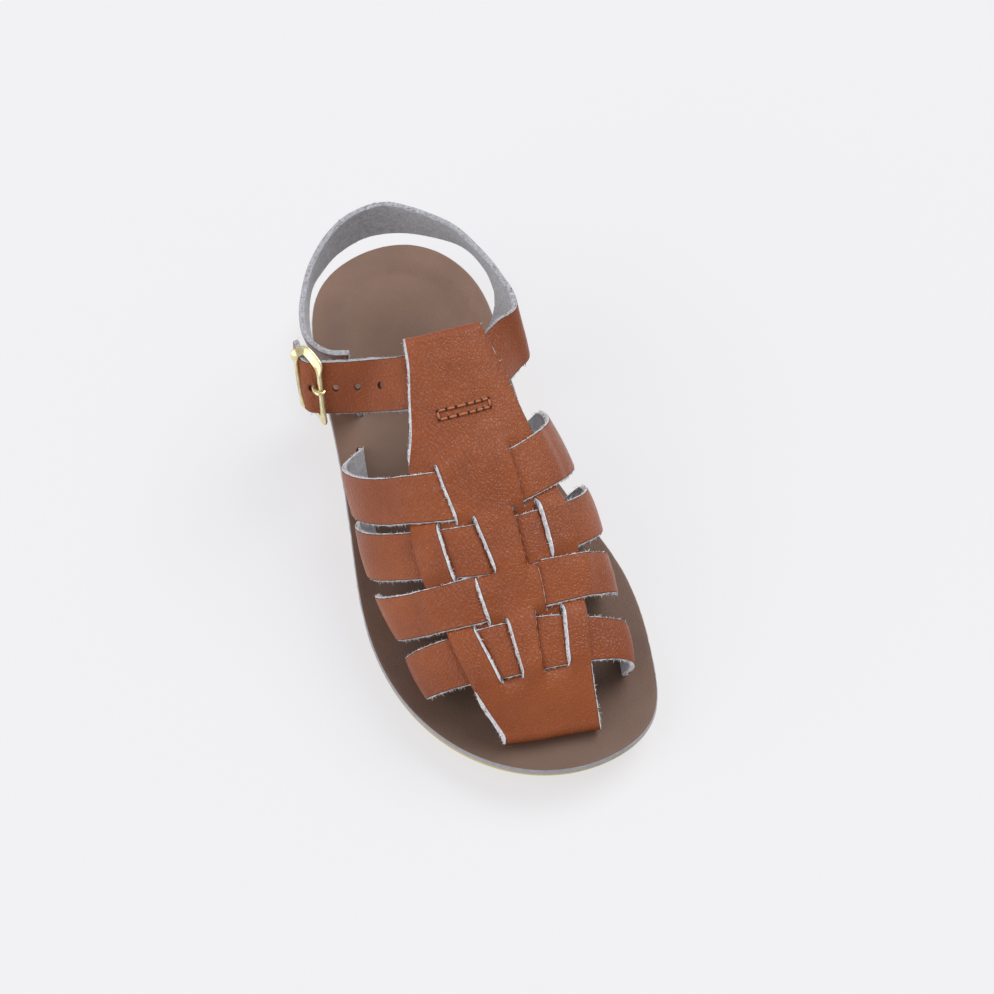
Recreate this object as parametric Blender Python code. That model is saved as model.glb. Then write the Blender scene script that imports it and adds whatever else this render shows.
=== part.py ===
"""Child's fisherman sandal, right foot.

Drawn in millimetres with x to the inner (medial) side, y to the heel and z up, where z = 0 is
the mean plane of the footbed. place() turns that into metres on the floor. The toe points to -Y.
"""
import bpy
import math
import numpy as np

for ob in list(bpy.data.objects):
    bpy.data.objects.remove(ob, do_unlink=True)

# ------------------------------------------------------------------ driving sizes, millimetres
TOE_Y, HEEL_Y = -70.0, 115.9      # ends of the footbed
FOOTBED_Z = 10.5                  # height of the drawing plane above the floor
SHIFT_X, SHIFT_Y = -3.721, 22.95    # middle of the sandal's own box
LEATHER = 1.6                     # thickness of the straps
INSOLE_T = 2.2                    # thickness of the footbed leather
GAP = 0.3                         # between pieces that touch
TOE_SPRING, SPRING_END = 5.0, 0.18
ARCH_RISE, ARCH_FROM, ARCH_TO = 1.3, 0.44, 0.70
# side of the sole: share of its height below the footbed leather, how far in from the edge
SOLE_SIDE = [
    (0.00, 0.4),
    (0.22, 0.9),
    (0.44, 1.7),
    (0.64, 2.6),
    (0.80, 3.5),
    (0.91, 4.4),
    (0.98, 5.3),
    (1.00, 6.2),
]
WIRE = 2.0                        # buckle wire
RING_N = 64                       # points round the sole
BAND_MID, PLATE_MID, STRAP_MID, LOOP_MID = 0.8, 1.8, -0.1, -2.0   # layers over the last
BULGE_MID = -0.8                  # the bands where they turn down at the sides of the foot
SECTION_POWER = 2.3               # fullness of the upper's cross section

# share of the length from the toe, outer edge x, inner edge x
OUTLINE = [
    (0.000,   6.8,  6.8),
    (0.038, -15.7, 27.4),
    (0.146, -33.1, 35.0),
    (0.309, -40.0, 35.8),
    (0.500, -36.1, 26.4),
    (0.691, -32.3, 24.4),
    (0.854, -30.1, 25.2),
    (0.962, -20.6, 16.2),
    (1.000,  -1.0, -1.0),
]
# share, height of the footbed, how far its edge stands above its middle
FOOTBED = [
    (0.00,  1.8, 0.7),
    (0.05,  1.0, 0.7),
    (0.20, -1.0, 0.5),
    (0.35, -1.2, 0.4),
    (0.50, -0.6, 0.5),
    (0.65,  0.4, 0.8),
    (0.80,  1.1, 1.3),
    (1.00,  1.4, 1.5),
]
# cross sections of the last where the straps lie, toe to ankle
# crest x, y, z | outer bulge x, y, z | inner bulge x, y, z | outer slot x, y | inner slot x, y
LAST = [
    ( 0.0, -59.5,  4.5, -27.0, -52.5,  3.0, 26.0, -58.0,  3.0, -24.5, -50.0, 24.0, -56.0),
    (-1.0, -45.5, 14.0, -31.1, -40.5,  8.0, 27.9, -47.6,  8.0, -27.0, -33.5, 25.6, -45.5),
    (-0.5, -28.8, 20.5, -33.9, -24.4, 10.0, 30.2, -32.0, 10.0, -30.5, -17.0, 28.0, -27.4),
    ( 0.0, -17.2, 25.5, -36.8,  -3.8, 11.0, 31.8,  -9.6, 11.0, -31.4,   4.0, 28.2,  -6.0),
    ( 0.0,  -1.2, 31.5, -36.2,  17.0, 12.0, 31.4,  13.3, 12.0, -28.2,  28.0, 25.7,  15.3),
    ( 0.0,  13.0, 37.5, -35.1,  35.5, 13.0, 28.6,  33.5, 13.0, -25.6,  47.7, 22.3,  33.0),
    ( 0.0,  25.5, 42.0, -33.0,  50.0, 14.0, 26.5,  47.0, 14.0, -24.0,  60.0, 20.5,  47.0),
    ( 0.0,  47.7, 50.0, -31.0,  72.0, 15.0, 25.0,  68.0, 15.0, -22.0,  82.0, 19.0,  68.0),
]
# the plate's edges and windows, as angles round the section (0 outer side, 90 crest, 180 inner)
# section, outer edge, outer window from, to, inner window from, to, inner edge
PLATE = [
    (0.00, 63.5, 76.0, 86.0, 95.0, 105.0, 117.4),
    (1.05, 58.8, 75.3, 85.6, 93.4, 106.1, 120.0),
    (2.00, 55.6, 70.5, 85.0, 95.6, 109.6, 123.7),
    (3.00, 53.7, 69.5, 85.5, 96.8, 108.8, 126.9),
    (4.00, 54.0, 68.5, 83.3, 96.2, 109.2, 126.7),
    (5.00, 61.0, 70.0, 83.5, 97.0, 110.0, 123.0),
    (6.30, 66.4, 74.0, 85.0, 98.0, 109.0, 117.8),
    (7.00, 73.2, 79.0, 87.0, 97.0, 105.0, 111.4),
]
WINDOW_ROWS = [(3.07, 3.92), (1.12, 1.93)]
# cross bands, rear edge then front edge as sections, at angles 0, 55, 90, 125 and 180
BANDS = {
    "band_1": ((5.00, 4.90, 4.87, 5.07, 5.30), (4.15, 4.03, 3.93, 4.08, 4.30)),
    "band_2": ((3.96, 3.90, 3.84, 3.80, 3.85), (3.17, 3.13, 3.02, 3.09, 3.22)),
    "band_3": ((2.86, 2.95, 3.02, 2.92, 2.76), (2.14, 2.02, 1.98, 2.00, 2.06)),
    "band_4": ((1.80, 1.90, 1.89, 1.75, 1.69), (1.00, 1.18, 1.14, 1.04, 0.93)),
}
# outer face of the strap round the heel: top x, y, z, bottom x, y, z
HEEL_STRAP = [
    (-25.8,  50.6, 45.5, -26.3,  53.0, 29.5),
    (-32.0,  52.6, 45.5, -31.3,  57.0, 29.4),
    (-36.6,  59.5, 45.3, -34.2,  65.0, 29.2),
    (-35.8,  69.2, 45.0, -34.0,  73.5, 29.0),
    (-31.4,  80.6, 45.0, -31.6,  84.0, 29.0),
    (-24.5,  90.7, 45.0, -26.5,  92.5, 29.0),
    (-14.0,  99.2, 45.0, -15.0, 101.0, 29.0),
    ( -0.5, 100.2, 45.0,   0.6, 102.2, 29.0),
    ( 13.3,  89.2, 45.0,  18.3,  92.3, 29.0),
    ( 20.0,  77.2, 45.0,  24.0,  80.5, 29.0),
    ( 24.1,  63.6, 45.0,  24.5,  66.0, 29.6),
    ( 25.0,  57.0, 45.2,  24.9,  55.5, 30.5),
    ( 23.4,  52.0, 45.6,  25.4,  46.0, 32.4),
    ( 18.0,  49.8, 46.0,  21.8,  39.6, 34.0),
]
# the same strap in front of the loop, on to the buckle and its tail
FRONT_STRAP = [
    (-20.3,  46.9, 46.3, -23.3,  37.4, 34.0),
    (-28.5,  48.8, 46.0, -31.0,  39.8, 33.2),
    (-34.6,  50.4, 46.0, -36.4,  41.6, 33.0),
    (-38.4,  51.6, 46.0, -40.6,  43.6, 32.6),
    (-40.0,  55.2, 46.0, -41.6,  48.7, 31.6),
    (-39.4,  61.5, 46.3, -40.6,  59.5, 30.6),
]
LOOP_SECTIONS = (6.91, 6.22)      # top and bottom edge of the strap inside the loop
# legs of the heel strap: strap rows from, to, slot x, y of each end
LEGS = [
    (0.0, 2.35, -23.5, 57.5, -28.0, 70.5),
    (9.55, 11.0, 20.2, 71.0,  21.5, 57.5),
]
# buckle, bent round the corner of the ankle: top x, y, z, bottom x, y, z
FRONT_BAR = (-34.8, 49.0, 46.4, -36.9, 39.3, 33.5)
CENTRE_BAR = (-36.6, 55.4, 48.2, -38.0, 45.2, 30.6)
REAR_BAR = (-41.4, 54.4, 46.2, -43.1, 46.6, 32.8)
# prong: angle and distance from the centre bar, then points x, y, z to its tip
PRONG_WRAP = (100, 60, 20, -20, -60)
PRONG_PATH = [(-37.3, 47.0, 39.5), (-37.9, 44.3, 39.8), (-37.1, 42.3, 40.0), (-35.5, 41.8, 40.1), (-34.2, 42.5, 40.1)]
PRONG_R = 0.62


# ------------------------------------------------------------------ curves and surfaces
def table_curve(rows):
    """Smooth curve through a table whose first column is the parameter."""
    t = np.array([r[0] for r in rows], float)
    v = np.array([r[1:] for r in rows], float)
    h = np.diff(t)
    d = np.diff(v, axis=0) / h[:, None]
    m = np.vstack([d[:1], (d[:-1] * h[1:, None] + d[1:] * h[:-1, None]) / (h[1:] + h[:-1])[:, None], d[-1:]])

    def at(s):
        i = int(min(max(np.searchsorted(t, s, side="right") - 1, 0), len(t) - 2))
        k = (s - t[i]) / h[i]
        return ((2 * k**3 - 3 * k**2 + 1) * v[i] + (k**3 - 2 * k**2 + k) * h[i] * m[i]
                + (-2 * k**3 + 3 * k**2) * v[i + 1] + (k**3 - k**2) * h[i] * m[i + 1])
    return at


def numbered(rows):
    return [(i,) + tuple(r) for i, r in enumerate(rows)]


def closed_curve(values):
    """Closed cubic through evenly spaced values."""
    n = len(values)
    v = np.array(values, float)
    a = np.zeros((n, n))
    for i in range(n):
        a[i, i], a[i, (i + 1) % n], a[i, (i - 1) % n] = 4, 1, 1
    m = np.linalg.solve(a, 3 * (np.roll(v, -1) - np.roll(v, 1)))

    def at(s):
        s = s % n
        i = int(s)
        k, j = s - i, (i + 1) % n
        return ((2 * k**3 - 3 * k**2 + 1) * v[i] + (k**3 - 2 * k**2 + k) * m[i]
                + (-2 * k**3 + 3 * k**2) * v[j] + (k**3 - k**2) * m[j])
    return at


outline_x = closed_curve([r[1] for r in OUTLINE] + [r[2] for r in OUTLINE[-2:0:-1]])
footbed = table_curve(FOOTBED)
section = table_curve(numbered(LAST))
plate_row = table_curve(PLATE)
heel_row = table_curve(numbered(HEEL_STRAP))
front_row = table_curve(numbered(FRONT_STRAP))


def share(y):
    return min(max((y - TOE_Y) / (HEEL_Y - TOE_Y), 0.0), 1.0)


def outline(t):
    """Edge of the footbed; t runs 0..1 from the toe by the outer side to the heel and back."""
    return outline_x(16 * t), TOE_Y + (1 - math.cos(2 * math.pi * t)) / 2 * (HEEL_Y - TOE_Y)


def middle(y):
    t = math.acos(1 - 2 * share(y)) / (2 * math.pi)
    return (outline_x(16 * t) + outline_x(16 * (1 - t))) / 2


def footbed_z(y, inward):
    z, rim = footbed(share(y))
    return z + rim * (1 - inward) ** 2


def floor_z(y):
    """Underside of the sole: toe spring, arch and a short rise at the heel."""
    s = (y - TOE_Y) / (HEEL_Y - TOE_Y)
    z = 0.0
    if s < SPRING_END:
        z = TOE_SPRING * ((SPRING_END - s) / SPRING_END) ** 2
    elif ARCH_FROM < s < ARCH_TO:
        z = ARCH_RISE * math.sin(math.pi * (s - ARCH_FROM) / (ARCH_TO - ARCH_FROM)) ** 2
    elif s > 0.965:
        z = 0.8 * ((s - 0.965) / 0.035) ** 2
    return z - FOOTBED_Z


def last(q, a):
    """Point of the last at section q (0 toe fold .. 7 top of the loop), angle a."""
    cx, cy, cz, lx, ly, lz, mx, my, mz, lsx, lsy, msx, msy = section(q)
    bx, by, bz, sx, sy, b = (lx, ly, lz, lsx, lsy, a) if a <= 90 else (mx, my, mz, msx, msy, 180 - a)
    if b >= 0:
        c = math.cos(math.radians(min(b, 90))) ** (2 / SECTION_POWER) if b < 90 else 0.0
        s = math.sin(math.radians(b)) ** (2 / SECTION_POWER)
        return np.array([cx + (bx - cx) * c, by + (cy - by) * s, bz + (cz - bz) * s])
    k = min(-b / 45, 1.0)
    e = k * k * (3 - 2 * k)
    base = footbed_z(sy, 0.5)
    p = np.array([bx + (sx - bx) * e, by + (sy - by) * k, bz + (base - bz) * k])
    if -b > 45:
        p[2] -= (-b - 45) * 0.1
    return p


def unit(v):
    return v / max(np.linalg.norm(v), 1e-9)


def last_normal(q, a):
    dq = last(min(q + 0.02, 7.2), a) - last(q - 0.02, a)
    da = last(q, a + 0.4) - last(q, a - 0.4)
    return unit(np.cross(da, dq))


def on_last(q, a, height):
    return last(q, a) + last_normal(q, a) * height


def place(p):
    return ((p[0] - SHIFT_X) * 0.001, (p[1] - SHIFT_Y) * 0.001, (p[2] + FOOTBED_Z) * 0.001)


# ------------------------------------------------------------------ building solids
def material(name, colour, rough, metal=0.0):
    m = bpy.data.materials.new(name)
    m.use_nodes = True
    b = m.node_tree.nodes["Principled BSDF"]
    b.inputs["Base Color"].default_value = (*colour, 1)
    b.inputs["Roughness"].default_value = rough
    b.inputs["Metallic"].default_value = metal
    return m


def add_object(name, verts, faces, mat, cutter=False, sharp=35):
    me = bpy.data.meshes.new(name)
    me.from_pydata([place(v) for v in verts], [], faces)
    me.update()
    me.shade_smooth()
    me.set_sharp_from_angle(angle=math.radians(sharp))
    ob = bpy.data.objects.new(name, me)
    bpy.context.scene.collection.objects.link(ob)
    if mat:
        me.materials.append(mat)
    if cutter:
        ob.hide_render = True
        ob.display_type = "WIRE"
    return ob


def combine(target, other, operation):
    m = target.modifiers.new(other.name, "BOOLEAN")
    m.operation = operation
    m.solver = "EXACT"
    m.object = other


def volume_sign(verts, faces):
    v = np.array(verts, float)
    total = 0.0
    for f in faces:
        for i in range(1, len(f) - 1):
            total += np.dot(v[f[0]], np.cross(v[f[i]], v[f[i + 1]]))
    return total


def outward(verts, faces):
    return faces if volume_sign(verts, faces) > 0 else [tuple(reversed(f)) for f in faces]


def ring_solid(rings):
    """Closed solid through rings of RING_N points, its two ends bridged side to side."""
    verts, faces, n = [], [], RING_N
    for r in rings:
        verts.extend(r)
    for k in range(len(rings) - 1):
        for i in range(n):
            j = (i + 1) % n
            faces.append((k * n + i, k * n + j, (k + 1) * n + j, (k + 1) * n + i))
    for base, flip in ((0, True), ((len(rings) - 1) * n, False)):
        cap = [(base + 0, base + 1, base + n - 1)]
        for i in range(1, n // 2 - 1):
            cap.append((base + i, base + i + 1, base + n - i - 1, base + n - i))
        h = n // 2
        cap.append((base + h - 1, base + h, base + h + 1))
        faces.extend([tuple(reversed(f)) for f in cap] if flip else cap)
    return verts, outward(verts, faces)


def sheet_solid(points, used=None, thick=LEATHER):
    """Leather of even thickness on a grid of mid points; used[i][j] says which cells exist."""
    g = np.array(points, float)
    ni, nj = g.shape[:2]
    if used is None:
        used = np.ones((ni - 1, nj - 1), bool)
    di = np.gradient(g, axis=0)
    dj = np.gradient(g, axis=1)
    nrm = np.cross(di, dj)
    nrm /= np.maximum(np.linalg.norm(nrm, axis=2, keepdims=True), 1e-9)
    index, verts = {}, []

    def vert(i, j, side):
        key = (i, j, side)
        if key not in index:
            index[key] = len(verts)
            verts.append(g[i, j] + nrm[i, j] * thick / 2 * side)
        return index[key]

    faces = []
    for i in range(ni - 1):
        for j in range(nj - 1):
            if not used[i][j]:
                continue
            faces.append((vert(i, j, 1), vert(i + 1, j, 1), vert(i + 1, j + 1, 1), vert(i, j + 1, 1)))
            faces.append((vert(i, j, -1), vert(i, j + 1, -1), vert(i + 1, j + 1, -1), vert(i + 1, j, -1)))
            for (a, b, di_, dj_) in (((i, j), (i + 1, j), 0, -1), ((i + 1, j + 1), (i, j + 1), 0, 1),
                                     ((i, j + 1), (i, j), -1, 0), ((i + 1, j), (i + 1, j + 1), 1, 0)):
                ii, jj = i + di_, j + dj_
                inside = 0 <= ii < ni - 1 and 0 <= jj < nj - 1 and used[ii][jj]
                if not inside:
                    faces.append((vert(*a, 1), vert(*a, -1), vert(*b, -1), vert(*b, 1)))
    return verts, outward(verts, faces)


def tube(path, radius, closed=False, sides=10):
    """Round wire along a path."""
    p = np.array(path, float)
    n = len(p)
    verts, faces = [], []
    up = None
    for i in range(n):
        if closed:
            t = unit(p[(i + 1) % n] - p[i - 1])
        else:
            t = unit(p[min(i + 1, n - 1)] - p[max(i - 1, 0)])
        if up is None:
            up = unit(np.cross(t, (0.3, 0.2, 1.0)))
        up = unit(up - t * np.dot(up, t))
        side = np.cross(t, up)
        for k in range(sides):
            w = 2 * math.pi * k / sides
            verts.append(p[i] + (up * math.cos(w) + side * math.sin(w)) * radius)
    rows = n if closed else n - 1
    for i in range(rows):
        for k in range(sides):
            a, b = i * sides + k, i * sides + (k + 1) % sides
            c, d = ((i + 1) % n) * sides + (k + 1) % sides, ((i + 1) % n) * sides + k
            faces.append((a, b, c, d))
    if not closed:
        faces.append(tuple(reversed(range(sides))))
        faces.append(tuple(range((n - 1) * sides, n * sides)))
    return verts, outward(verts, faces)


def box_along(p, q, width, z0, z1):
    """Upright box along the line from p to q."""
    p, q = np.array(p[:2], float), np.array(q[:2], float)
    d = q - p
    s = np.array([-d[1], d[0]]) / np.linalg.norm(d) * width / 2
    c = [p + s, p - s, q - s, q + s]
    verts = [(*v, z0) for v in c] + [(*v, z1) for v in c]
    faces = [(3, 2, 1, 0), (4, 5, 6, 7)] + [(i, (i + 1) % 4, 4 + (i + 1) % 4, 4 + i) for i in range(4)]
    return verts, outward(verts, faces)


# ------------------------------------------------------------------ sole and footbed
def inner_ring(inset, fraction, height):
    """Ring inside the outline: moved in by inset, then a share of the way to the middle line."""
    ring = []
    for i in range(RING_N):
        x, y = outline(i / RING_N)
        xa, ya = outline((i + 0.02) / RING_N)
        xb, yb = outline((i - 0.02) / RING_N)
        n = unit(np.array([yb - ya, xa - xb, 0.0]))
        core_y = min(max(y, TOE_Y + 40), HEEL_Y - 29)
        side = -1.5 if 0 < i < RING_N // 2 else (1.5 if i > RING_N // 2 else 0.0)
        core = np.array([middle(core_y) + side, core_y, 0.0])
        if i in (0, RING_N // 2):
            core[1] += -0.8 if i == 0 else 0.8
        p = np.array([x, y, 0.0])
        d = core - p
        if np.dot(n, d) < 0:
            n = -n
        p = p + n * inset
        p = p + (core - p) * fraction
        p[2] = height(p[1], fraction)
        ring.append(p)
    return ring


def top_of_sole(y, f):
    return footbed_z(y, f) - INSOLE_T - GAP


sole_rings = [inner_ring(0.4, f, top_of_sole) for f in (1.0, 0.75, 0.5, 0.3, 0.14, 0.03)]
sole_rings.append(inner_ring(0.7, 0.0, top_of_sole))
for k, inset in SOLE_SIDE:
    sole_rings.append(inner_ring(inset, 0.0, lambda y, f, k=k: floor_z(y)
                                 + (top_of_sole(y, f) - 0.35 - floor_z(y)) * (1 - k)))
for f in (0.12, 0.3, 0.55, 0.8, 1.0):
    sole_rings.append(inner_ring(SOLE_SIDE[-1][1], f, lambda y, f: floor_z(y)))
rubber = material("sole_rubber", (0.58, 0.50, 0.26), 0.75)
outsole = add_object("outsole", *ring_solid(sole_rings), rubber)

insole_rings = [inner_ring(0.4, f, footbed_z) for f in (1.0, 0.75, 0.5, 0.3, 0.14, 0.03)]
insole_rings.append(inner_ring(0.3, 0.0, footbed_z))
insole_rings.append(inner_ring(0.0, 0.0, lambda y, f: footbed_z(y, f) - 0.35))
insole_rings.append(inner_ring(0.0, 0.0, lambda y, f: footbed_z(y, f) - INSOLE_T))
insole_rings += [inner_ring(0.4, f, lambda y, f: footbed_z(y, f) - INSOLE_T) for f in (0.03, 0.14, 0.3, 0.5, 0.75, 1.0)]
suede = material("footbed_leather", (0.21, 0.145, 0.115), 0.7)
insole = add_object("insole", *ring_solid(insole_rings), suede, sharp=50)

# ------------------------------------------------------------------ woven upper
leather = material("strap_leather", (0.26, 0.065, 0.024), 0.45)


def plate_grid():
    """Mid surface of the plate: toe end, body, loop over the strap and its stitched end."""
    qs = sorted({round(v, 3) for v in np.arange(0.0, 7.01, 0.25)} | {v for w in WINDOW_ROWS for v in w})
    qs = [v for v in qs if all(abs(v - e) > 0.09 or v == e for w in WINDOW_ROWS for e in w)]

    def angles(q):
        e = plate_row(q)
        cols = [e[0], (e[0] + e[1]) / 2, e[1], (e[1] + e[2]) / 2, e[2], (e[2] + e[3]) / 2, e[3],
                (e[3] + e[4]) / 2, e[4], (e[4] + e[5]) / 2, e[5]]
        return cols

    rows = []
    # toe end, folded down into its slot
    first = [on_last(0.0, a, PLATE_MID) for a in angles(0.0)]
    base = footbed_z(first[5][1], 0.6)
    for dy, lift in ((2.4, -INSOLE_T + 0.1), (2.4, 0.4), (1.0, 2.0), (-0.9, 3.3)):
        rows.append([np.array([p[0] * (1 - 0.0), p[1] + dy, base + lift]) for p in first])
    used_q = [None] * 4
    for q in qs:
        rows.append([on_last(q, a, PLATE_MID) for a in angles(q)])
        used_q.append(q)
    # loop: half turn, then back under the strap
    cols = angles(7.0)
    for w in (45, 90, 135, 180):
        row = []
        for a in cols:
            n, t = last_normal(7.0, a), unit(last(7.0, a) - last(6.9, a))
            r = (PLATE_MID - LOOP_MID) / 2
            c = last(7.0, a) + n * (PLATE_MID + LOOP_MID) / 2
            row.append(c + n * r * math.cos(math.radians(w)) + t * r * math.sin(math.radians(w)))
        rows.append(row)
        used_q.append(None)
    for q, h in ((6.75, LOOP_MID), (6.45, LOOP_MID), (6.17, LOOP_MID), (6.02, -1.3), (5.9, -0.3), (5.72, 0.05)):
        rows.append([on_last(q, a, h) for a in angles(q)])
        used_q.append(None)
    return rows, used_q


rows, used_q = plate_grid()
used = np.ones((len(rows) - 1, 10), bool)
for i in range(len(rows) - 1):
    for lo, hi in WINDOW_ROWS:
        if used_q[i] is not None and used_q[i + 1] is not None and lo - 1e-6 <= used_q[i] and used_q[i + 1] <= hi + 1e-6:
            used[i, 2:4] = False
            used[i, 6:8] = False
vamp = add_object("vamp", *sheet_solid(rows, used), leather, sharp=40)

pad_rows = [[on_last(q, a, 0.9) for a in (78, 84, 90, 96, 102)] for q in (5.76, 5.84, 5.92)]
pad = add_object("stitched_joint", *sheet_solid(pad_rows, thick=1.1), leather, cutter=True)
combine(vamp, pad, "UNION")


def band_height(a):
    """Height of a band over the last: it lies closer at the bulges than on top of the foot."""
    k = min(max((min(a, 180 - a) - 5) / 45, 0.0), 1.0)
    return BULGE_MID + (BAND_MID - BULGE_MID) * k * k * (3 - 2 * k)


def band_edges(name):
    rear, front = BANDS[name]
    cols = (0, 55, 90, 125, 180)
    return (table_curve(list(zip(cols, rear))), table_curve(list(zip(cols, front))))


ANGLES = [-60, -45, -36, -27, -18, -9, 0, 8, 17, 27, 38, 50, 63, 76, 90,
          104, 117, 130, 142, 153, 163, 172, 180, 189, 198, 207, 216, 225, 240]
slot_lines = []
for name in BANDS:
    rear, front = band_edges(name)
    grid = []
    for a in ANGLES:
        c = min(max(a, 0), 180)
        r, f = float(rear(c)[0]), float(front(c)[0])
        grid.append([on_last(q, a, band_height(a)) if -40 < a < 220 else None for q in (r, (r + f) / 2, f)])
    # the ends go straight down through the footbed
    for lo, hi, inner in ((0, 1, 2), (len(ANGLES) - 1, len(ANGLES) - 2, len(ANGLES) - 3)):
        a = ANGLES[hi]
        c = min(max(a, 0), 180)
        r, f = float(rear(c)[0]), float(front(c)[0])
        for j, q in enumerate((r, (r + f) / 2, f)):
            p = last(q, a) + np.array([-BAND_MID if a < 90 else BAND_MID, 0, 0])
            grid[hi][j] = p
            grid[lo][j] = np.array([p[0], p[1], footbed_z(p[1], 0.2) - INSOLE_T + 0.1])
        slot_lines.append((grid[lo][0], grid[lo][2]))
    band = add_object(name, *sheet_solid(grid), leather, cutter=True)
    combine(vamp, band, "UNION")

# ------------------------------------------------------------------ ankle strap with its legs
def strap_grid():
    cols, stations = [], []
    for s in np.arange(0, 11.001, 0.25):
        cols.append(heel_row(s))
        stations.append(s)
    for s in (11.35, 11.7, 12.0, 12.35, 12.7, 13.0):
        cols.append(heel_row(s))
        stations.append(99)
    for a in (113, 107, 101, 95, 90, 85, 79, 73, 68):
        top, low = on_last(LOOP_SECTIONS[0], a, STRAP_MID + LEATHER / 2), on_last(LOOP_SECTIONS[1], a + (a - 90) * 0.28, STRAP_MID + LEATHER / 2)
        cols.append(np.concatenate([top, low]))
        stations.append(99)
    for s in (0, 0.5, 1, 1.5, 2, 2.4, 2.8, 3.2, 3.6, 4, 4.5, 5):
        cols.append(front_row(s))
        stations.append(99)
    return np.array(cols), stations


cols, stations = strap_grid()
LEG_ROWS = (0.2, 0.42, 0.64, 0.84, 0.96, 1.0)
grid, used = [], []
for c, s in zip(cols, stations):
    top, low = c[:3], c[3:]
    line = [top + (low - top) * k for k in (0, 0.34, 0.67, 1.0)]
    leg = [g for g in LEGS if g[0] - 1e-6 <= s <= g[1] + 1e-6]
    if leg:
        s0, s1, x0, y0, x1, y1 = leg[0]
        k = (s - s0) / (s1 - s0)
        foot = np.array([x0 + (x1 - x0) * k, y0 + (y1 - y0) * k, 0.0])
        foot[2] = footbed_z(foot[1], 0.15)
        for r in LEG_ROWS:
            p = low + (foot - low) * r
            p[2] = low[2] + (foot[2] - low[2]) * min(r / 0.84, 1.0) - (max(r - 0.84, 0) / 0.16) * (INSOLE_T - 0.1)
            bow = math.sin(math.pi * min(r / 0.84, 1.0)) * 1.2
            p[0] += -bow if p[0] < 0 else bow
            e = min(r / 0.84, 1.0)
            e = e * e * (3 - 2 * e)
            p[0] = low[0] + (foot[0] - low[0]) * e + (-bow if p[0] < 0 else bow)
            p[1] = low[1] + (foot[1] - low[1]) * min(r / 0.84, 1.0)
            line.append(p)
    else:
        line += [low + np.array([0, 0, -1.0 - i]) for i in range(len(LEG_ROWS))]
    grid.append(line)
grid = np.array(grid)
for i in range(len(grid) - 1):
    row = [True] * 3
    in_leg = any(g[0] - 1e-6 <= stations[i] and stations[i + 1] <= g[1] + 1e-6 for g in LEGS)
    used.append(row + [in_leg] * len(LEG_ROWS))
used = np.array(used)
# the table gives the outer face; move to the middle of the leather
ring = grid[:, :4]
nrm = np.cross(np.gradient(ring, axis=0), np.gradient(ring, axis=1))
nrm /= np.linalg.norm(nrm, axis=2, keepdims=True)
centre = np.array([-5.0, 74.0, 38.0])
mid = grid.copy()
for i in range(len(grid)):
    for j in range(grid.shape[1]):
        n = nrm[i, min(j, 3)]
        if j >= 4:
            n = unit(np.array([n[0], n[1], 0]))
        out = n if np.dot(nrm[10, 1], grid[10, 1] - centre) > 0 else -n
        mid[i, j] = grid[i, j] - out * LEATHER / 2
leg_lines = []
for s0, s1, x0, y0, x1, y1 in LEGS:
    ids = [i for i, s in enumerate(stations) if s0 - 1e-6 <= s <= s1 + 1e-6]
    leg_lines.append((mid[ids[0], -1], mid[ids[-1], -1], [mid[i, -1] for i in ids]))


def leg_safe(points, used):
    """Normals of the ring rows must not feel the unused leg rows."""
    g = points.copy()
    for i in range(len(g)):
        left = i > 0 and used[i - 1][3]
        right = i < len(used) and used[i][3] if i < len(used) else False
        if not (left or right):
            for j in range(4, g.shape[1]):
                g[i, j] = g[i, 3] + (g[i, 3] - g[i, 2]) * (j - 3) * 0.3
    return g


ankle = add_object("ankle_strap", *sheet_solid(leg_safe(mid, used), used), material("ankle_strap_leather", (0.26, 0.065, 0.024), 0.45), sharp=40)

# ------------------------------------------------------------------ slots in the footbed
cut_v, cut_f = [], []


def add_cut(verts, faces):
    b = len(cut_v)
    cut_v.extend(verts)
    cut_f.extend([tuple(b + i for i in f) for f in faces])


def slot(p, q, width):
    p, q = np.array(p, float), np.array(q, float)
    d = unit(q - p)
    add_cut(*box_along(p - d * 0.5, q + d * 0.5, width, -12, 8))


for p, q in slot_lines:
    slot(p, q, LEATHER + 0.8)
slot(rows[0][0], rows[0][-1], LEATHER + 1.0)
for p, q, pts in leg_lines:
    line = np.array(pts)[:, :2]
    c = line.mean(axis=0)
    d = unit(line[-1] - line[0])
    off = [(v - line[0])[0] * -d[1] + (v - line[0])[1] * d[0] for v in line]
    shift = (max(off) + min(off)) / 2
    s = np.array([-d[1], d[0]]) * shift
    slot((line[0] + s).tolist() + [0], (line[-1] + s).tolist() + [0], LEATHER + 0.8 + max(off) - min(off))
slots = add_object("slot_cutters", cut_v, cut_f, None, cutter=True)
combine(insole, slots, "DIFFERENCE")

# ------------------------------------------------------------------ buckle
brass = material("buckle_brass", (0.62, 0.50, 0.22), 0.28, 1.0)
fb, cb, rb = ([np.array(b[:3]), np.array(b[3:])] for b in (FRONT_BAR, CENTRE_BAR, REAR_BAR))


def smooth_through(knots, count):
    curve = table_curve(numbered(knots))
    return [curve(k) for k in np.linspace(0, len(knots) - 1, count)]


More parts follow.
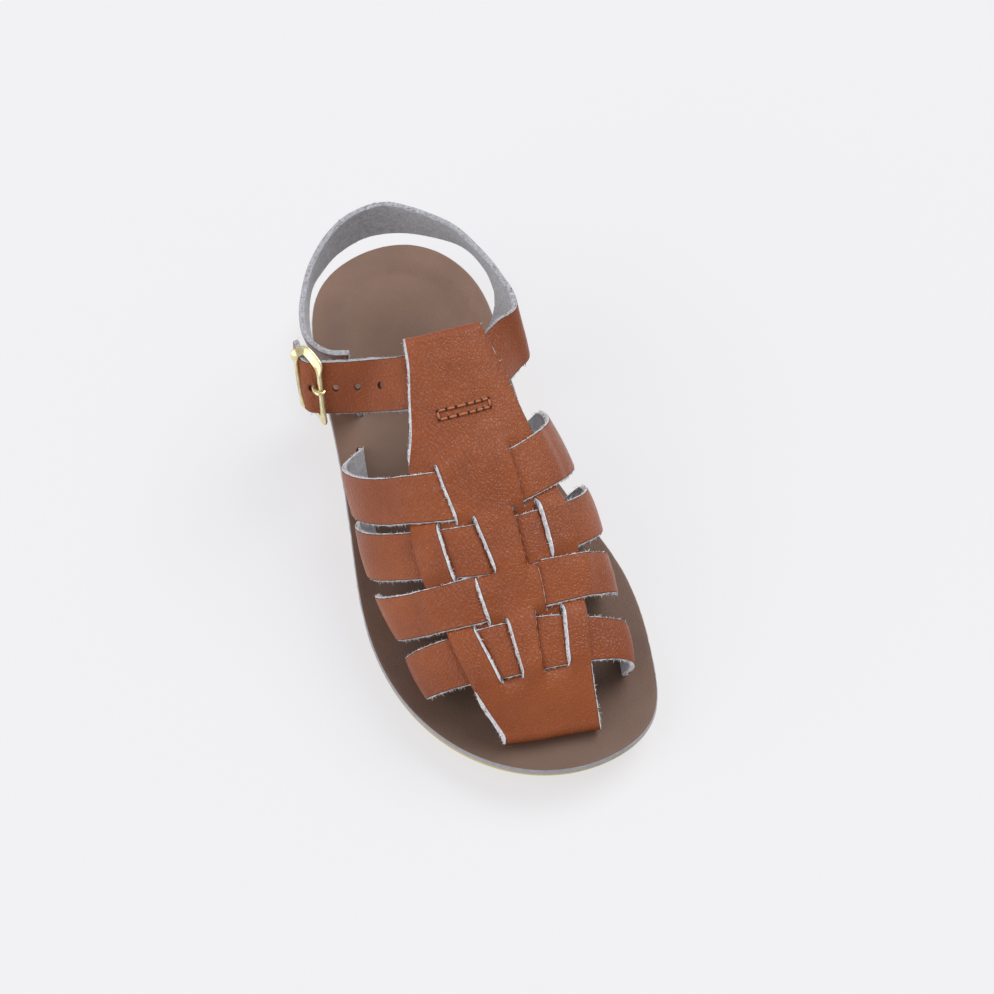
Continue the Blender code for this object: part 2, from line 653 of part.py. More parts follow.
def frame_path():
    """Two long bars joined by arms that bow inward to the centre bar."""
    f_dir, r_dir = unit(fb[1] - fb[0]), unit(rb[1] - rb[0])
    low_arm = smooth_through([fb[1], fb[1] + f_dir * 1.2 + (cb[1] - fb[1]) * 0.18, cb[1],
                              rb[1] + r_dir * 1.2 + (cb[1] - rb[1]) * 0.18, rb[1]], 15)
    top_arm = smooth_through([rb[0], rb[0] - r_dir * 1.2 + (cb[0] - rb[0]) * 0.18, cb[0],
                              fb[0] - f_dir * 1.2 + (cb[0] - fb[0]) * 0.18, fb[0]], 15)
    front = [fb[0] + (fb[1] - fb[0]) * k for k in (0.25, 0.5, 0.75)]
    rear = [rb[1] + (rb[0] - rb[1]) * k for k in (0.25, 0.5, 0.75)]
    return front + low_arm + rear + top_arm


frame = add_object("buckle_frame", *tube(frame_path(), WIRE / 2, closed=True), brass, sharp=50)
bar = add_object("centre_bar", *tube([cb[0] + (cb[1] - cb[0]) * k for k in (0, 0.25, 0.5, 0.75, 1)], 0.75), brass, cutter=True)
combine(frame, bar, "UNION")

# prong: hooked on the centre bar, out through its hole and over the front bar
c_bar = (cb[0] + cb[1]) / 2
wrap = 0.75 + GAP + PRONG_R
path = [c_bar + np.array([math.cos(math.radians(w)), math.sin(math.radians(w)), 0]) * wrap for w in PRONG_WRAP]
path += [np.array(p) for p in PRONG_PATH]
path = smooth_through(path, 21)
prong = add_object("buckle_prong", *tube(path, PRONG_R, sides=8), material("prong_brass", (0.62, 0.50, 0.22), 0.28, 1.0), sharp=50)
a, b = np.array(PRONG_PATH[0]), np.array(PRONG_PATH[1])
hole = add_object("prong_hole_cutter", *tube([a - (b - a) * 0.8, b + (b - a) * 0.5], 1.5, sides=12), None, cutter=True)
combine(ankle, hole, "DIFFERENCE")
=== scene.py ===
"""Looks of a child's fisherman sandal, right foot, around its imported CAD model.

The shapes are worked out in millimetres, x to the inner side, y to the heel and z up, with z = 0 on
the mean plane of the footbed. place() turns that into metres on the floor, in the row's frame.
"""
import bpy
import math
import random
import numpy as np
from mathutils import Matrix, Vector, noise


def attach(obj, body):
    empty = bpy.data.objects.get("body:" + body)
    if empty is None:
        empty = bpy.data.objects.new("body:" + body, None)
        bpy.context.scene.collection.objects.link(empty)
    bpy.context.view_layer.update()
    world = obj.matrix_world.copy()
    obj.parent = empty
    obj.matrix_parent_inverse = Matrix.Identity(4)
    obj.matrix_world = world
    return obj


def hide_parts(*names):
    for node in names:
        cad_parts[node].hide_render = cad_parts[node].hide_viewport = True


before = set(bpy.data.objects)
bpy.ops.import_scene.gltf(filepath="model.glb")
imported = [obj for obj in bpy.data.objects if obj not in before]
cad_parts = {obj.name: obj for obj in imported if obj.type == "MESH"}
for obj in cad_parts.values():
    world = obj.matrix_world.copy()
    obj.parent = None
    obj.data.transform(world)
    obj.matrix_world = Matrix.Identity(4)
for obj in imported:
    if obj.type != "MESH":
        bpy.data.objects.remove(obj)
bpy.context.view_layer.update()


# ------------------------------------------------------------------ sizes, as the CAD model has them
TOE_Y, HEEL_Y = -70.0, 115.9
FOOTBED_Z = 10.5
SHIFT_X, SHIFT_Y = -3.721, 22.95
LEATHER = 1.6
INSOLE_T = 2.2
GAP = 0.3
TOE_SPRING, SPRING_END = 5.0, 0.18
ARCH_RISE, ARCH_FROM, ARCH_TO = 1.3, 0.44, 0.70
SOLE_SIDE = [(0.00, 0.1), (0.22, 0.4), (0.44, 1.1), (0.64, 2.1), (0.80, 3.2), (0.91, 4.3), (0.98, 5.3), (1.00, 6.2)]
SECTION_POWER = 2.3
STRAP_MID, LOOP_MID, PLATE_MID, BAND_MID, BULGE_MID = -0.1, -2.0, 1.8, 0.8, -0.8
LOOP_TURN = 6.90

OUTLINE = [
    (0.000,   6.8,  6.8),
    (0.038, -15.7, 27.4),
    (0.146, -33.1, 35.0),
    (0.309, -40.0, 35.8),
    (0.500, -36.1, 26.4),
    (0.691, -32.3, 24.4),
    (0.854, -30.1, 25.2),
    (0.962, -20.6, 16.2),
    (1.000,  -1.0, -1.0),
]
FOOTBED = [
    (0.00,  1.8, 0.7),
    (0.05,  1.0, 0.7),
    (0.20, -1.0, 0.5),
    (0.35, -1.2, 0.4),
    (0.50, -0.6, 0.5),
    (0.65,  0.4, 0.8),
    (0.80,  1.1, 1.3),
    (1.00,  1.4, 1.5),
]
# crest x, y, z | outer bulge x, y, z | inner bulge x, y, z | outer slot x, y | inner slot x, y
LAST = [
    ( 0.0, -59.5,  4.5, -27.0, -52.5,  3.0, 26.0, -58.0,  3.0, -24.5, -50.0, 24.0, -56.0),
    (-1.0, -45.5, 14.0, -31.1, -40.5,  8.0, 27.9, -47.6,  8.0, -27.0, -33.5, 25.6, -45.5),
    (-0.5, -28.8, 20.5, -33.9, -24.4, 10.0, 30.2, -32.0, 10.0, -30.5, -17.0, 28.0, -27.4),
    ( 0.0, -17.2, 25.5, -36.8,  -3.8, 11.0, 31.8,  -9.6, 11.0, -31.4,   4.0, 28.2,  -6.0),
    ( 0.0,  -1.2, 31.5, -36.2,  17.0, 12.0, 31.4,  13.3, 12.0, -28.2,  28.0, 25.7,  15.3),
    ( 0.0,  13.0, 37.5, -35.1,  35.5, 13.0, 28.6,  33.5, 13.0, -25.6,  47.7, 22.3,  33.0),
    ( 0.0,  25.5, 42.0, -33.0,  50.0, 14.0, 26.5,  47.0, 14.0, -24.0,  60.0, 20.5,  47.0),
    ( 0.0,  47.7, 50.0, -31.0,  72.0, 15.0, 25.0,  68.0, 15.0, -22.0,  82.0, 19.0,  68.0),
]
# section | outer edge | outer window from, to | inner window from, to | inner edge
PLATE = [
    (0.00, 63.5, 76.0, 86.0, 95.0, 105.0, 117.4),
    (1.05, 58.8, 75.3, 85.6, 93.4, 106.1, 120.0),
    (2.00, 55.6, 70.5, 85.0, 95.6, 109.6, 123.7),
    (3.00, 55.2, 69.8, 85.5, 96.6, 109.4, 125.7),
    (4.00, 55.8, 68.8, 83.3, 97.2, 109.8, 124.8),
    (5.00, 61.6, 70.0, 83.5, 97.0, 110.0, 123.0),
    (5.65, 65.9, 72.5, 84.3, 97.5, 109.5, 120.6),
    (6.30, 69.9, 75.5, 85.3, 98.0, 109.0, 117.8),
    (6.65, 73.0, 78.0, 86.3, 97.5, 107.0, 114.6),
    (7.00, 74.4, 79.2, 87.0, 97.0, 105.0, 111.4),
]
# section | outer slit | inner slit, as angles
SLITS = [
    (0.00, 81.0, 100.0),
    (1.05, 80.5, 99.8),
    (1.95, 77.8, 101.3),
    (3.03, 77.3, 101.2),
    (3.95, 76.7, 103.2),
    (5.00, 74.3, 104.5),
    (6.30, 79.5, 103.5),
    (7.00, 83.0, 101.0),
]
# the plate's eight lines at a section are its outer edge, six slits and its inner edge;
# where the bands of rows 2 and 4 pass, slits 1, 3, 4 and 6 are open, and slits 2 and 5 for bands 1 and 3
WINDOW_ROWS = [(1.03, 1.98), (2.96, 3.96)]
SLIT_ROWS = [(1.92, 3.05), (3.88, 5.00)]
OPEN_ROWS = {1: WINDOW_ROWS, 2: SLIT_ROWS, 3: WINDOW_ROWS, 4: WINDOW_ROWS, 5: SLIT_ROWS, 6: WINDOW_ROWS}
# section | height over the foot of the plate's strips: outermost, next, next, middle, and the same again inwards
WEAVE = [
    (0.00, 1.80, 1.80, 1.80, 1.80),
    (0.74, 1.80, 1.80, 1.80, 1.80),
    (0.90, 1.92, 1.75, 1.75, 1.92),
    (0.98, 2.10, 1.35, 1.35, 2.15),
    (1.06, 2.35, 0.75, 0.75, 2.40),
    (1.16, 2.62, 0.30, 0.30, 2.65),
    (1.28, 2.76, 0.15, 0.15, 2.80),
    (1.42, 2.80, 0.15, 0.15, 2.85),
    (1.70, 2.80, 0.20, 0.20, 2.85),
    (1.82, 2.65, 0.35, 0.50, 2.85),
    (1.94, 1.90, 0.65, 1.50, 2.80),
    (2.07, 1.00, 0.75, 2.40, 2.70),
    (2.20, 0.75, 0.75, 2.60, 2.70),
    (2.78, 0.75, 0.75, 2.55, 2.70),
    (2.88, 0.90, 0.75, 2.10, 2.75),
    (2.97, 1.45, 0.65, 1.15, 2.82),
    (3.06, 2.10, 0.45, 0.45, 2.90),
    (3.16, 2.70, 0.25, 0.20, 2.95),
    (3.30, 2.90, 0.20, 0.20, 2.95),
    (3.62, 2.90, 0.20, 0.20, 2.95),
    (3.76, 2.80, 0.30, 0.50, 2.93),
    (3.90, 2.05, 0.60, 1.55, 2.85),
    (4.05, 1.00, 0.75, 2.40, 2.75),
    (4.20, 0.75, 0.75, 2.60, 2.70),
    (4.80, 0.75, 0.75, 2.60, 2.70),
    (4.95, 0.95, 0.90, 2.40, 2.55),
    (5.12, 1.50, 1.50, 2.10, 2.20),
    (5.40, 1.80, 1.80, 1.80, 1.80),
    (7.00, 1.80, 1.80, 1.80, 1.80),
]
BANDS = {
    "band_1": ((5.00, 4.90, 4.87, 5.07, 5.30), (4.15, 4.03, 3.93, 4.08, 4.30)),
    "band_2": ((3.96, 3.90, 3.80, 3.77, 3.85), (3.17, 3.13, 2.94, 3.04, 3.22)),
    "band_3": ((2.86, 2.95, 3.02, 2.92, 2.78), (2.14, 2.02, 1.98, 2.03, 2.26)),
    "band_4": ((1.80, 1.90, 1.88, 1.71, 1.69), (1.00, 1.13, 1.08, 1.03, 0.93)),
}
BAND_COLUMNS = (0, 55, 90, 125, 180)
# outer face of the strap round the heel: top x, y, z, bottom x, y, z
HEEL_STRAP = [
    (-25.8,  50.6, 45.5, -26.3,  53.0, 29.5),
    (-32.0,  52.6, 45.5, -31.3,  57.0, 29.4),
    (-36.6,  59.5, 45.3, -34.2,  65.0, 29.2),
    (-35.8,  69.2, 45.0, -34.0,  73.5, 29.0),
    (-31.4,  80.6, 45.0, -31.6,  84.0, 29.0),
    (-24.5,  90.7, 45.0, -26.5,  92.5, 29.0),
    (-14.0,  99.2, 45.0, -15.0, 101.0, 29.0),
    ( -0.5, 100.2, 45.0,   0.6, 102.2, 29.0),
    ( 13.3,  89.2, 45.0,  18.3,  92.3, 29.0),
    ( 20.0,  77.2, 45.0,  24.0,  80.5, 29.0),
    ( 24.1,  63.6, 45.0,  24.5,  66.0, 29.6),
    ( 25.0,  57.0, 45.2,  24.9,  55.5, 30.5),
    ( 23.8,  52.0, 45.6,  26.0,  44.0, 32.5),
    ( 18.0,  49.8, 46.0,  21.8,  39.6, 34.0),
]
FRONT_STRAP = [
    (-20.3,  46.9, 46.3, -23.3,  37.4, 34.0),
    (-28.5,  48.8, 46.0, -31.0,  39.8, 33.2),
    (-34.6,  50.4, 46.0, -36.4,  41.6, 33.0),
    (-38.4,  51.6, 46.0, -40.6,  43.6, 32.6),
    (-40.0,  55.2, 46.0, -41.6,  48.7, 31.6),
    (-39.4,  61.5, 46.3, -40.6,  59.5, 30.6),
]
LOOP_SECTIONS = (6.83, 6.19)
LEGS = [
    (0.0, 2.35, -23.5, 57.5, -28.0, 70.5),
    (9.55, 11.0, 20.2, 71.0,  21.5, 57.5),
]
FRONT_BAR = (-35.1, 49.0, 45.6, -36.9, 39.3, 33.5)
CENTRE_BAR = (-37.4, 54.6, 47.0, -38.0, 45.2, 30.6)
REAR_BAR = (-40.6, 54.4, 46.2, -41.2, 46.9, 32.8)
PRONG_WRAP = (100, 60, 20, -20, -60)
PRONG_PATH = [(-37.3, 47.2, 40.2), (-37.7, 45.2, 40.9), (-37.1, 43.4, 41.3), (-35.9, 42.9, 41.4), (-34.9, 43.5, 41.4)]
PRONG_R = 0.62

CELL = 0.62          # spacing of the leather meshes


# ------------------------------------------------------------------ curves and surfaces
def table_curve(rows):
    """Smooth curve through a table whose first column is the parameter."""
    t = np.array([r[0] for r in rows], float)
    v = np.array([r[1:] for r in rows], float)
    h = np.diff(t)
    d = np.diff(v, axis=0) / h[:, None]
    m = np.vstack([d[:1], (d[:-1] * h[1:, None] + d[1:] * h[:-1, None]) / (h[1:] + h[:-1])[:, None], d[-1:]])

    def at(s):
        i = int(min(max(np.searchsorted(t, s, side="right") - 1, 0), len(t) - 2))
        k = (s - t[i]) / h[i]
        return ((2 * k**3 - 3 * k**2 + 1) * v[i] + (k**3 - 2 * k**2 + k) * h[i] * m[i]
                + (-2 * k**3 + 3 * k**2) * v[i + 1] + (k**3 - k**2) * h[i] * m[i + 1])
    return at


def numbered(rows):
    return [(i,) + tuple(r) for i, r in enumerate(rows)]


def closed_curve(values):
    """Closed cubic through evenly spaced values."""
    n = len(values)
    v = np.array(values, float)
    a = np.zeros((n, n))
    for i in range(n):
        a[i, i], a[i, (i + 1) % n], a[i, (i - 1) % n] = 4, 1, 1
    m = np.linalg.solve(a, 3 * (np.roll(v, -1) - np.roll(v, 1)))

    def at(s):
        s = s % n
        i = int(s)
        k, j = s - i, (i + 1) % n
        return ((2 * k**3 - 3 * k**2 + 1) * v[i] + (k**3 - 2 * k**2 + k) * m[i]
                + (-2 * k**3 + 3 * k**2) * v[j] + (k**3 - k**2) * m[j])
    return at


outline_x = closed_curve([r[1] for r in OUTLINE] + [r[2] for r in OUTLINE[-2:0:-1]])
footbed = table_curve(FOOTBED)
section = table_curve(numbered(LAST))
plate_row = table_curve(PLATE)
slit_row = table_curve(SLITS)
weave = table_curve(WEAVE)
heel_row = table_curve(numbered(HEEL_STRAP))
front_row = table_curve(numbered(FRONT_STRAP))


def clamp(v, lo, hi):
    return min(max(v, lo), hi)


def ease(v):
    v = clamp(v, 0.0, 1.0)
    return v * v * (3 - 2 * v)


def share(y):
    return clamp((y - TOE_Y) / (HEEL_Y - TOE_Y), 0.0, 1.0)


def outline(t):
    return outline_x(16 * t), TOE_Y + (1 - math.cos(2 * math.pi * t)) / 2 * (HEEL_Y - TOE_Y)


def middle(y):
    t = math.acos(1 - 2 * share(y)) / (2 * math.pi)
    return (outline_x(16 * t) + outline_x(16 * (1 - t))) / 2


def footbed_z(y, inward):
    z, rim = footbed(share(y))
    return z + rim * (1 - inward) ** 2


def floor_z(y):
    s = (y - TOE_Y) / (HEEL_Y - TOE_Y)
    z = 0.0
    if s < SPRING_END:
        z = TOE_SPRING * ((SPRING_END - s) / SPRING_END) ** 2
    elif ARCH_FROM < s < ARCH_TO:
        z = ARCH_RISE * math.sin(math.pi * (s - ARCH_FROM) / (ARCH_TO - ARCH_FROM)) ** 2
    elif s > 0.965:
        z = 0.8 * ((s - 0.965) / 0.035) ** 2
    return z - FOOTBED_Z


def last(q, a):
    """Point of the foot's surface at section q (0 toe fold .. 7 top of the loop), angle a."""
    cx, cy, cz, lx, ly, lz, mx, my, mz, lsx, lsy, msx, msy = section(q)
    bx, by, bz, sx, sy, b = (lx, ly, lz, lsx, lsy, a) if a <= 90 else (mx, my, mz, msx, msy, 180 - a)
    if b >= 0:
        c = math.cos(math.radians(min(b, 90))) ** (2 / SECTION_POWER) if b < 90 else 0.0
        s = math.sin(math.radians(b)) ** (2 / SECTION_POWER)
        return np.array([cx + (bx - cx) * c, by + (cy - by) * s, bz + (cz - bz) * s])
    k = min(-b / 45, 1.0)
    e = k * k * (3 - 2 * k)
    base = footbed_z(sy, 0.5)
    p = np.array([bx + (sx - bx) * e, by + (sy - by) * k, bz + (base - bz) * k])
    if -b > 45:
        p[2] -= (-b - 45) * 0.1
    return p


def unit(v):
    return v / max(np.linalg.norm(v), 1e-9)


def last_normal(q, a):
    dq = last(min(q + 0.02, 7.2), a) - last(q - 0.02, a)
    da = last(q, a + 0.4) - last(q, a - 0.4)
    return unit(np.cross(da, dq))


def on_last(q, a, height):
    return last(q, a) + last_normal(q, a) * height


def place(p):
    return ((p[0] - SHIFT_X) * 0.001, (p[1] - SHIFT_Y) * 0.001, (p[2] + FOOTBED_Z) * 0.001)


def wobble(p, size, depth):
    """Smooth unevenness, the same each run."""
    return noise.noise(Vector((p[0] / size, p[1] / size, p[2] / size))) * depth


# ------------------------------------------------------------------ materials
def new_material(name):
    m = bpy.data.materials.new(name)
    m.use_nodes = True
    nt = m.node_tree
    b = next(n for n in nt.nodes if n.type == "BSDF_PRINCIPLED")
    co = nt.nodes.new("ShaderNodeTexCoord")
    mp = nt.nodes.new("ShaderNodeMapping")
    mp.inputs["Scale"].default_value = (1000, 1000, 1000)      # texture space in millimetres
    nt.links.new(co.outputs["Object"], mp.inputs["Vector"])
    return m, nt, b, mp.outputs["Vector"]


def noise_node(nt, vec, scale, detail=2.0, rough=0.5, warp=0.0):
    n = nt.nodes.new("ShaderNodeTexNoise")
    n.inputs["Scale"].default_value = scale
    n.inputs["Detail"].default_value = detail
    n.inputs["Roughness"].default_value = rough
    n.inputs["Distortion"].default_value = warp
    nt.links.new(vec, n.inputs["Vector"])
    return n.outputs["Fac"]


def cells(nt, vec, scale, feature="F1", random=1.0):
    n = nt.nodes.new("ShaderNodeTexVoronoi")
    n.feature = feature
    n.inputs["Scale"].default_value = scale
    n.inputs["Randomness"].default_value = random
    nt.links.new(vec, n.inputs["Vector"])
    return n.outputs["Distance"]


def ramp(nt, fac, stops):
    n = nt.nodes.new("ShaderNodeValToRGB")
    while len(n.color_ramp.elements) < len(stops):
        n.color_ramp.elements.new(0.5)
    for e, (pos, col) in zip(n.color_ramp.elements, stops):
        e.position = pos
        e.color = (*col, 1) if len(col) == 3 else col
    nt.links.new(fac, n.inputs["Fac"])
    return n.outputs["Color"]


def maths(nt, op, a, b=None, clampit=False):
    n = nt.nodes.new("ShaderNodeMath")
    n.operation = op
    n.use_clamp = clampit
    for i, v in enumerate((a, b)):
        if v is None:
            continue
        if isinstance(v, (int, float)):
            n.inputs[i].default_value = v
        else:
            nt.links.new(v, n.inputs[i])
    return n.outputs[0]


def spread(nt, fac, lo, hi, to_lo, to_hi):
    n = nt.nodes.new("ShaderNodeMapRange")
    n.inputs["From Min"].default_value = lo
    n.inputs["From Max"].default_value = hi
    n.inputs["To Min"].default_value = to_lo
    n.inputs["To Max"].default_value = to_hi
    nt.links.new(fac, n.inputs["Value"])
    return n.outputs["Result"]


def mix_colour(nt, fac, a, b, blend="MIX"):
    n = nt.nodes.new("ShaderNodeMix")
    n.data_type = "RGBA"
    n.blend_type = blend
    for sock, v in ((n.inputs[0], fac), (n.inputs[6], a), (n.inputs[7], b)):
        if isinstance(v, (int, float)):
            sock.default_value = v
        elif isinstance(v, tuple):
            sock.default_value = (*v, 1)
        else:
            nt.links.new(v, sock)
    return n.outputs[2]


def bump(nt, bsdf, height, distance, strength=1.0):
    n = nt.nodes.new("ShaderNodeBump")
    n.inputs["Strength"].default_value = strength
    n.inputs["Distance"].default_value = distance
    nt.links.new(height, n.inputs["Height"])
    nt.links.new(n.outputs["Normal"], bsdf.inputs["Normal"])
    return n


def grain_leather(name, deep, mid, light, rough=(0.42, 0.55), relief=0.00007, pebble=1.5, coat=0.06, specular=0.35, broad=0.05, crease=0.0, painted_heel_light_toe_shade=False):
    """Pigmented full grain leather: pebbles, fine creases between them with painted shade, soft uneven colour;
    optionally painted light at the heel and painted shade toward the toe.
    """
    m, nt, b, vec = new_material(name)
    warp = nt.nodes.new("ShaderNodeMapping")
    warp.inputs["Scale"].default_value = (1.0, 0.8, 1.0)
    nt.links.new(vec, warp.inputs["Vector"])
    v = warp.outputs["Vector"]
    peb = cells(nt, v, pebble, "SMOOTH_F1")
    crack = cells(nt, v, pebble * 0.93, "DISTANCE_TO_EDGE")
    fine = noise_node(nt, vec, 4.2, 4, 0.6)
    soft = noise_node(nt, vec, broad, 3, 0.55, 0.3)
    mottle = noise_node(nt, vec, 0.55, 3, 0.6)
    col = ramp(nt, soft, [(0.25, deep), (0.5, mid), (0.78, light)])
    # painted shade: the creases between the pebbles are darkened towards the deep colour
    crease_shade = maths(nt, "MULTIPLY", spread(nt, crack, 0.0, 0.11, 0.45, 0.0), mottle, True)
    col = mix_colour(nt, crease_shade, col, deep)
    if painted_heel_light_toe_shade:
        # painted light and shade: the footbed's colour is made lightest at the heel and darkest at the toe, as the
        # light falls on it
        xyz = nt.nodes.new("ShaderNodeSeparateXYZ")
        nt.links.new(vec, xyz.inputs["Vector"])
        painted_light_shade = ramp(nt, spread(nt, xyz.outputs["Y"], -85.0, 75.0, 0.0, 1.0), [(0.0, (0.69, 0.69, 0.69)), (0.45, (0.77, 0.77, 0.77)), (0.85, (1.0, 1.0, 1.0))])
        col = mix_colour(nt, 1.0, col, painted_light_shade, "MULTIPLY")
    nt.links.new(col, b.inputs["Base Color"])
    r = spread(nt, maths(nt, "ADD", maths(nt, "MULTIPLY", mottle, 0.7), maths(nt, "MULTIPLY", fine, 0.3)), 0.3, 0.7, rough[0], rough[1])
    nt.links.new(r, b.inputs["Roughness"])
    h = maths(nt, "ADD", maths(nt, "MULTIPLY", spread(nt, crack, 0.0, 0.22, 0.0, 1.0), 0.55),
              maths(nt, "ADD", maths(nt, "MULTIPLY", peb, -0.55), maths(nt, "MULTIPLY", fine, 0.2)))
    h = maths(nt, "ADD", h, maths(nt, "MULTIPLY", mottle, 0.8))
    if crease:
        # patches of fine parallel wrinkles where the leather has been bent
        turn = nt.nodes.new("ShaderNodeMapping")
        turn.inputs["Rotation"].default_value = (0.3, 0.2, 0.75)
        turn.inputs["Scale"].default_value = (0.95, 0.16, 0.5)
        nt.links.new(vec, turn.inputs["Vector"])
        wrinkle = noise_node(nt, turn.outputs["Vector"], 1.0, 3, 0.55, 0.8)
        patch = spread(nt, noise_node(nt, vec, 0.055, 2, 0.5), 0.46, 0.62, 0.15, 1.0)
        h = maths(nt, "ADD", h, maths(nt, "MULTIPLY", maths(nt, "MULTIPLY", wrinkle, patch), crease))
    bump(nt, b, h, relief, 0.85)
    b.inputs["Specular IOR Level"].default_value = specular
    b.inputs["Coat Weight"].default_value = coat
    b.inputs["Coat Roughness"].default_value = 0.38
    return m


def fibre(name, dark, light, relief=0.00016, scale=2.6, sheen=0.25, stain=None):
    """Cut or split leather: loose pale fibres, no gloss, here and there stained by the grain's colour."""
    m, nt, b, vec = new_material(name)
    f = noise_node(nt, vec, scale, 5, 0.72, 0.6)
    g = noise_node(nt, vec, 0.6, 3, 0.6)
    s = maths(nt, "ADD", maths(nt, "MULTIPLY", f, 0.75), maths(nt, "MULTIPLY", g, 0.25))
    col = ramp(nt, s, [(0.34, dark), (0.62, light)])
    if stain:
        spots = spread(nt, noise_node(nt, vec, 1.3, 3, 0.65, 0.5), 0.56, 0.68, 0.0, 0.8)
        col = mix_colour(nt, maths(nt, "MULTIPLY", spots, 1.0, True), col, stain)
    nt.links.new(col, b.inputs["Base Color"])
    b.inputs["Roughness"].default_value = 0.95
    b.inputs["Specular IOR Level"].default_value = 0.15
    b.inputs["Sheen Weight"].default_value = sheen
    b.inputs["Sheen Roughness"].default_value = 0.6
    bump(nt, b, f, relief, 0.8)
    return m


def rubber_material(name, base, low, relief, fine_scale=3.0):
    m, nt, b, vec = new_material(name)
    soft = noise_node(nt, vec, 0.045, 3, 0.5)
    fine = noise_node(nt, vec, fine_scale, 4, 0.6)
    speck = noise_node(nt, vec, 1.1, 3, 0.65)
    col = ramp(nt, maths(nt, "ADD", maths(nt, "MULTIPLY", soft, 0.7), maths(nt, "MULTIPLY", speck, 0.3)), [(0.32, low), (0.66, base)])
    nt.links.new(col, b.inputs["Base Color"])
    nt.links.new(spread(nt, speck, 0.3, 0.7, 0.55, 0.7), b.inputs["Roughness"])
    b.inputs["Specular IOR Level"].default_value = 0.35
    bump(nt, b, maths(nt, "ADD", fine, speck), relief, 0.6)
    return m


def brass_material(name):
    m, nt, b, vec = new_material(name)
    wear = noise_node(nt, vec, 0.35, 4, 0.6)
    hair = nt.nodes.new("ShaderNodeMapping")
    hair.inputs["Scale"].default_value = (6.0, 6.0, 0.5)
    nt.links.new(vec, hair.inputs["Vector"])
    lines = noise_node(nt, hair.outputs["Vector"], 1.4, 3, 0.6)
    nt.links.new(ramp(nt, wear, [(0.3, (0.68, 0.56, 0.29)), (0.55, (0.84, 0.76, 0.47)), (0.8, (0.92, 0.86, 0.60))]), b.inputs["Base Color"])
    nt.links.new(spread(nt, maths(nt, "ADD", maths(nt, "MULTIPLY", wear, 0.5), maths(nt, "MULTIPLY", lines, 0.5)), 0.35, 0.65, 0.2, 0.36), b.inputs["Roughness"])
    b.inputs["Metallic"].default_value = 1.0
    b.inputs["Coat Weight"].default_value = 0.15
    b.inputs["Coat Roughness"].default_value = 0.15
    bump(nt, b, maths(nt, "ADD", wear, maths(nt, "MULTIPLY", lines, 0.3)), 0.00004, 0.5)
    return m


def plain_node_material(name, dark, light, rough, scale=2.5, relief=0.00005):
    m, nt, b, vec = new_material(name)
    f = noise_node(nt, vec, scale, 3, 0.6)
    nt.links.new(ramp(nt, f, [(0.3, dark), (0.7, light)]), b.inputs["Base Color"])
    b.inputs["Roughness"].default_value = rough
    bump(nt, b, f, relief, 0.6)
    return m


TAN = grain_leather("tan_leather", (0.205, 0.0435, 0.0076), (0.262, 0.0587, 0.0110), (0.315, 0.0780, 0.0165),
                    rough=(0.28, 0.40), relief=0.00022, pebble=1.15, coat=0.07, specular=0.36, crease=2.1)
HOLE_WALL = fibre("punched_wall", (0.05, 0.022, 0.014), (0.16, 0.075, 0.05), sheen=0.0)
RAW = fibre("cut_edge", (0.36, 0.355, 0.375), (0.90, 0.90, 0.93), stain=(0.20, 0.08, 0.045))
STRAP_RAW = fibre("strap_cut_edge", (0.22, 0.22, 0.24), (0.56, 0.56, 0.60), relief=0.0003, scale=2.0)
# painted shade: a dark line along the grain's edge for the shadow in the gaps beside the strips
EDGE_SHADE = plain_node_material("painted_edge_shadow", (0.045, 0.011, 0.004), (0.13, 0.032, 0.008), 0.55, scale=3.0)
SPLIT = fibre("split_back", (0.24, 0.24, 0.26), (0.62, 0.62, 0.65), relief=0.00045, scale=1.7)
BED = grain_leather("footbed_leather", (0.178, 0.105, 0.074), (0.221, 0.133, 0.096), (0.266, 0.164, 0.120),
                    rough=(0.5, 0.62), relief=0.00008, pebble=1.9, coat=0.03, specular=0.3, broad=0.03, painted_heel_light_toe_shade=True)
BED_EDGE = fibre("footbed_cut_edge", (0.22, 0.21, 0.23), (0.42, 0.41, 0.44), scale=3.0)
# painted shade: the walls inside the footbed's slots are near black
SLOT_SHADE = fibre("painted_slot_shade", (0.03, 0.024, 0.02), (0.09, 0.075, 0.065), scale=3.0, sheen=0.05)
RUBBER = rubber_material("crepe_rubber", (0.60, 0.50, 0.235), (0.52, 0.42, 0.18), 0.00005)
BRASS = brass_material("brass")
THREAD = plain_node_material("thread", (0.34, 0.10, 0.035), (0.56, 0.21, 0.09), 0.7, scale=5.0)
# painted shade: near black discs stand for the shade inside the punched stitch holes
HOLE_SHADE = plain_node_material("painted_stitch_hole_shade", (0.012, 0.005, 0.003), (0.035, 0.012, 0.006), 0.9)


# ------------------------------------------------------------------ mesh building
class Mesh:
    def __init__(self):
        self.v, self.f, self.m = [], [], []

    def add(self, verts, faces, mats):
        base = len(self.v)
        self.v.extend(verts)
        self.f.extend(tuple(base + i for i in f) for f in faces)
        self.m.extend(mats if isinstance(mats, list) else [mats] * len(faces))

    def make(self, name, materials, sharp=38):
        me = bpy.data.meshes.new(name)
        me.from_pydata([place(v) for v in self.v], [], self.f)
        for m in materials:
            me.materials.append(m)
        me.polygons.foreach_set("material_index", np.array(self.m, np.int32))
        me.update()
        me.shade_smooth()
        me.set_sharp_from_angle(angle=math.radians(sharp))
        ob = bpy.data.objects.new(name, me)
        bpy.context.scene.collection.objects.link(ob)
        return ob


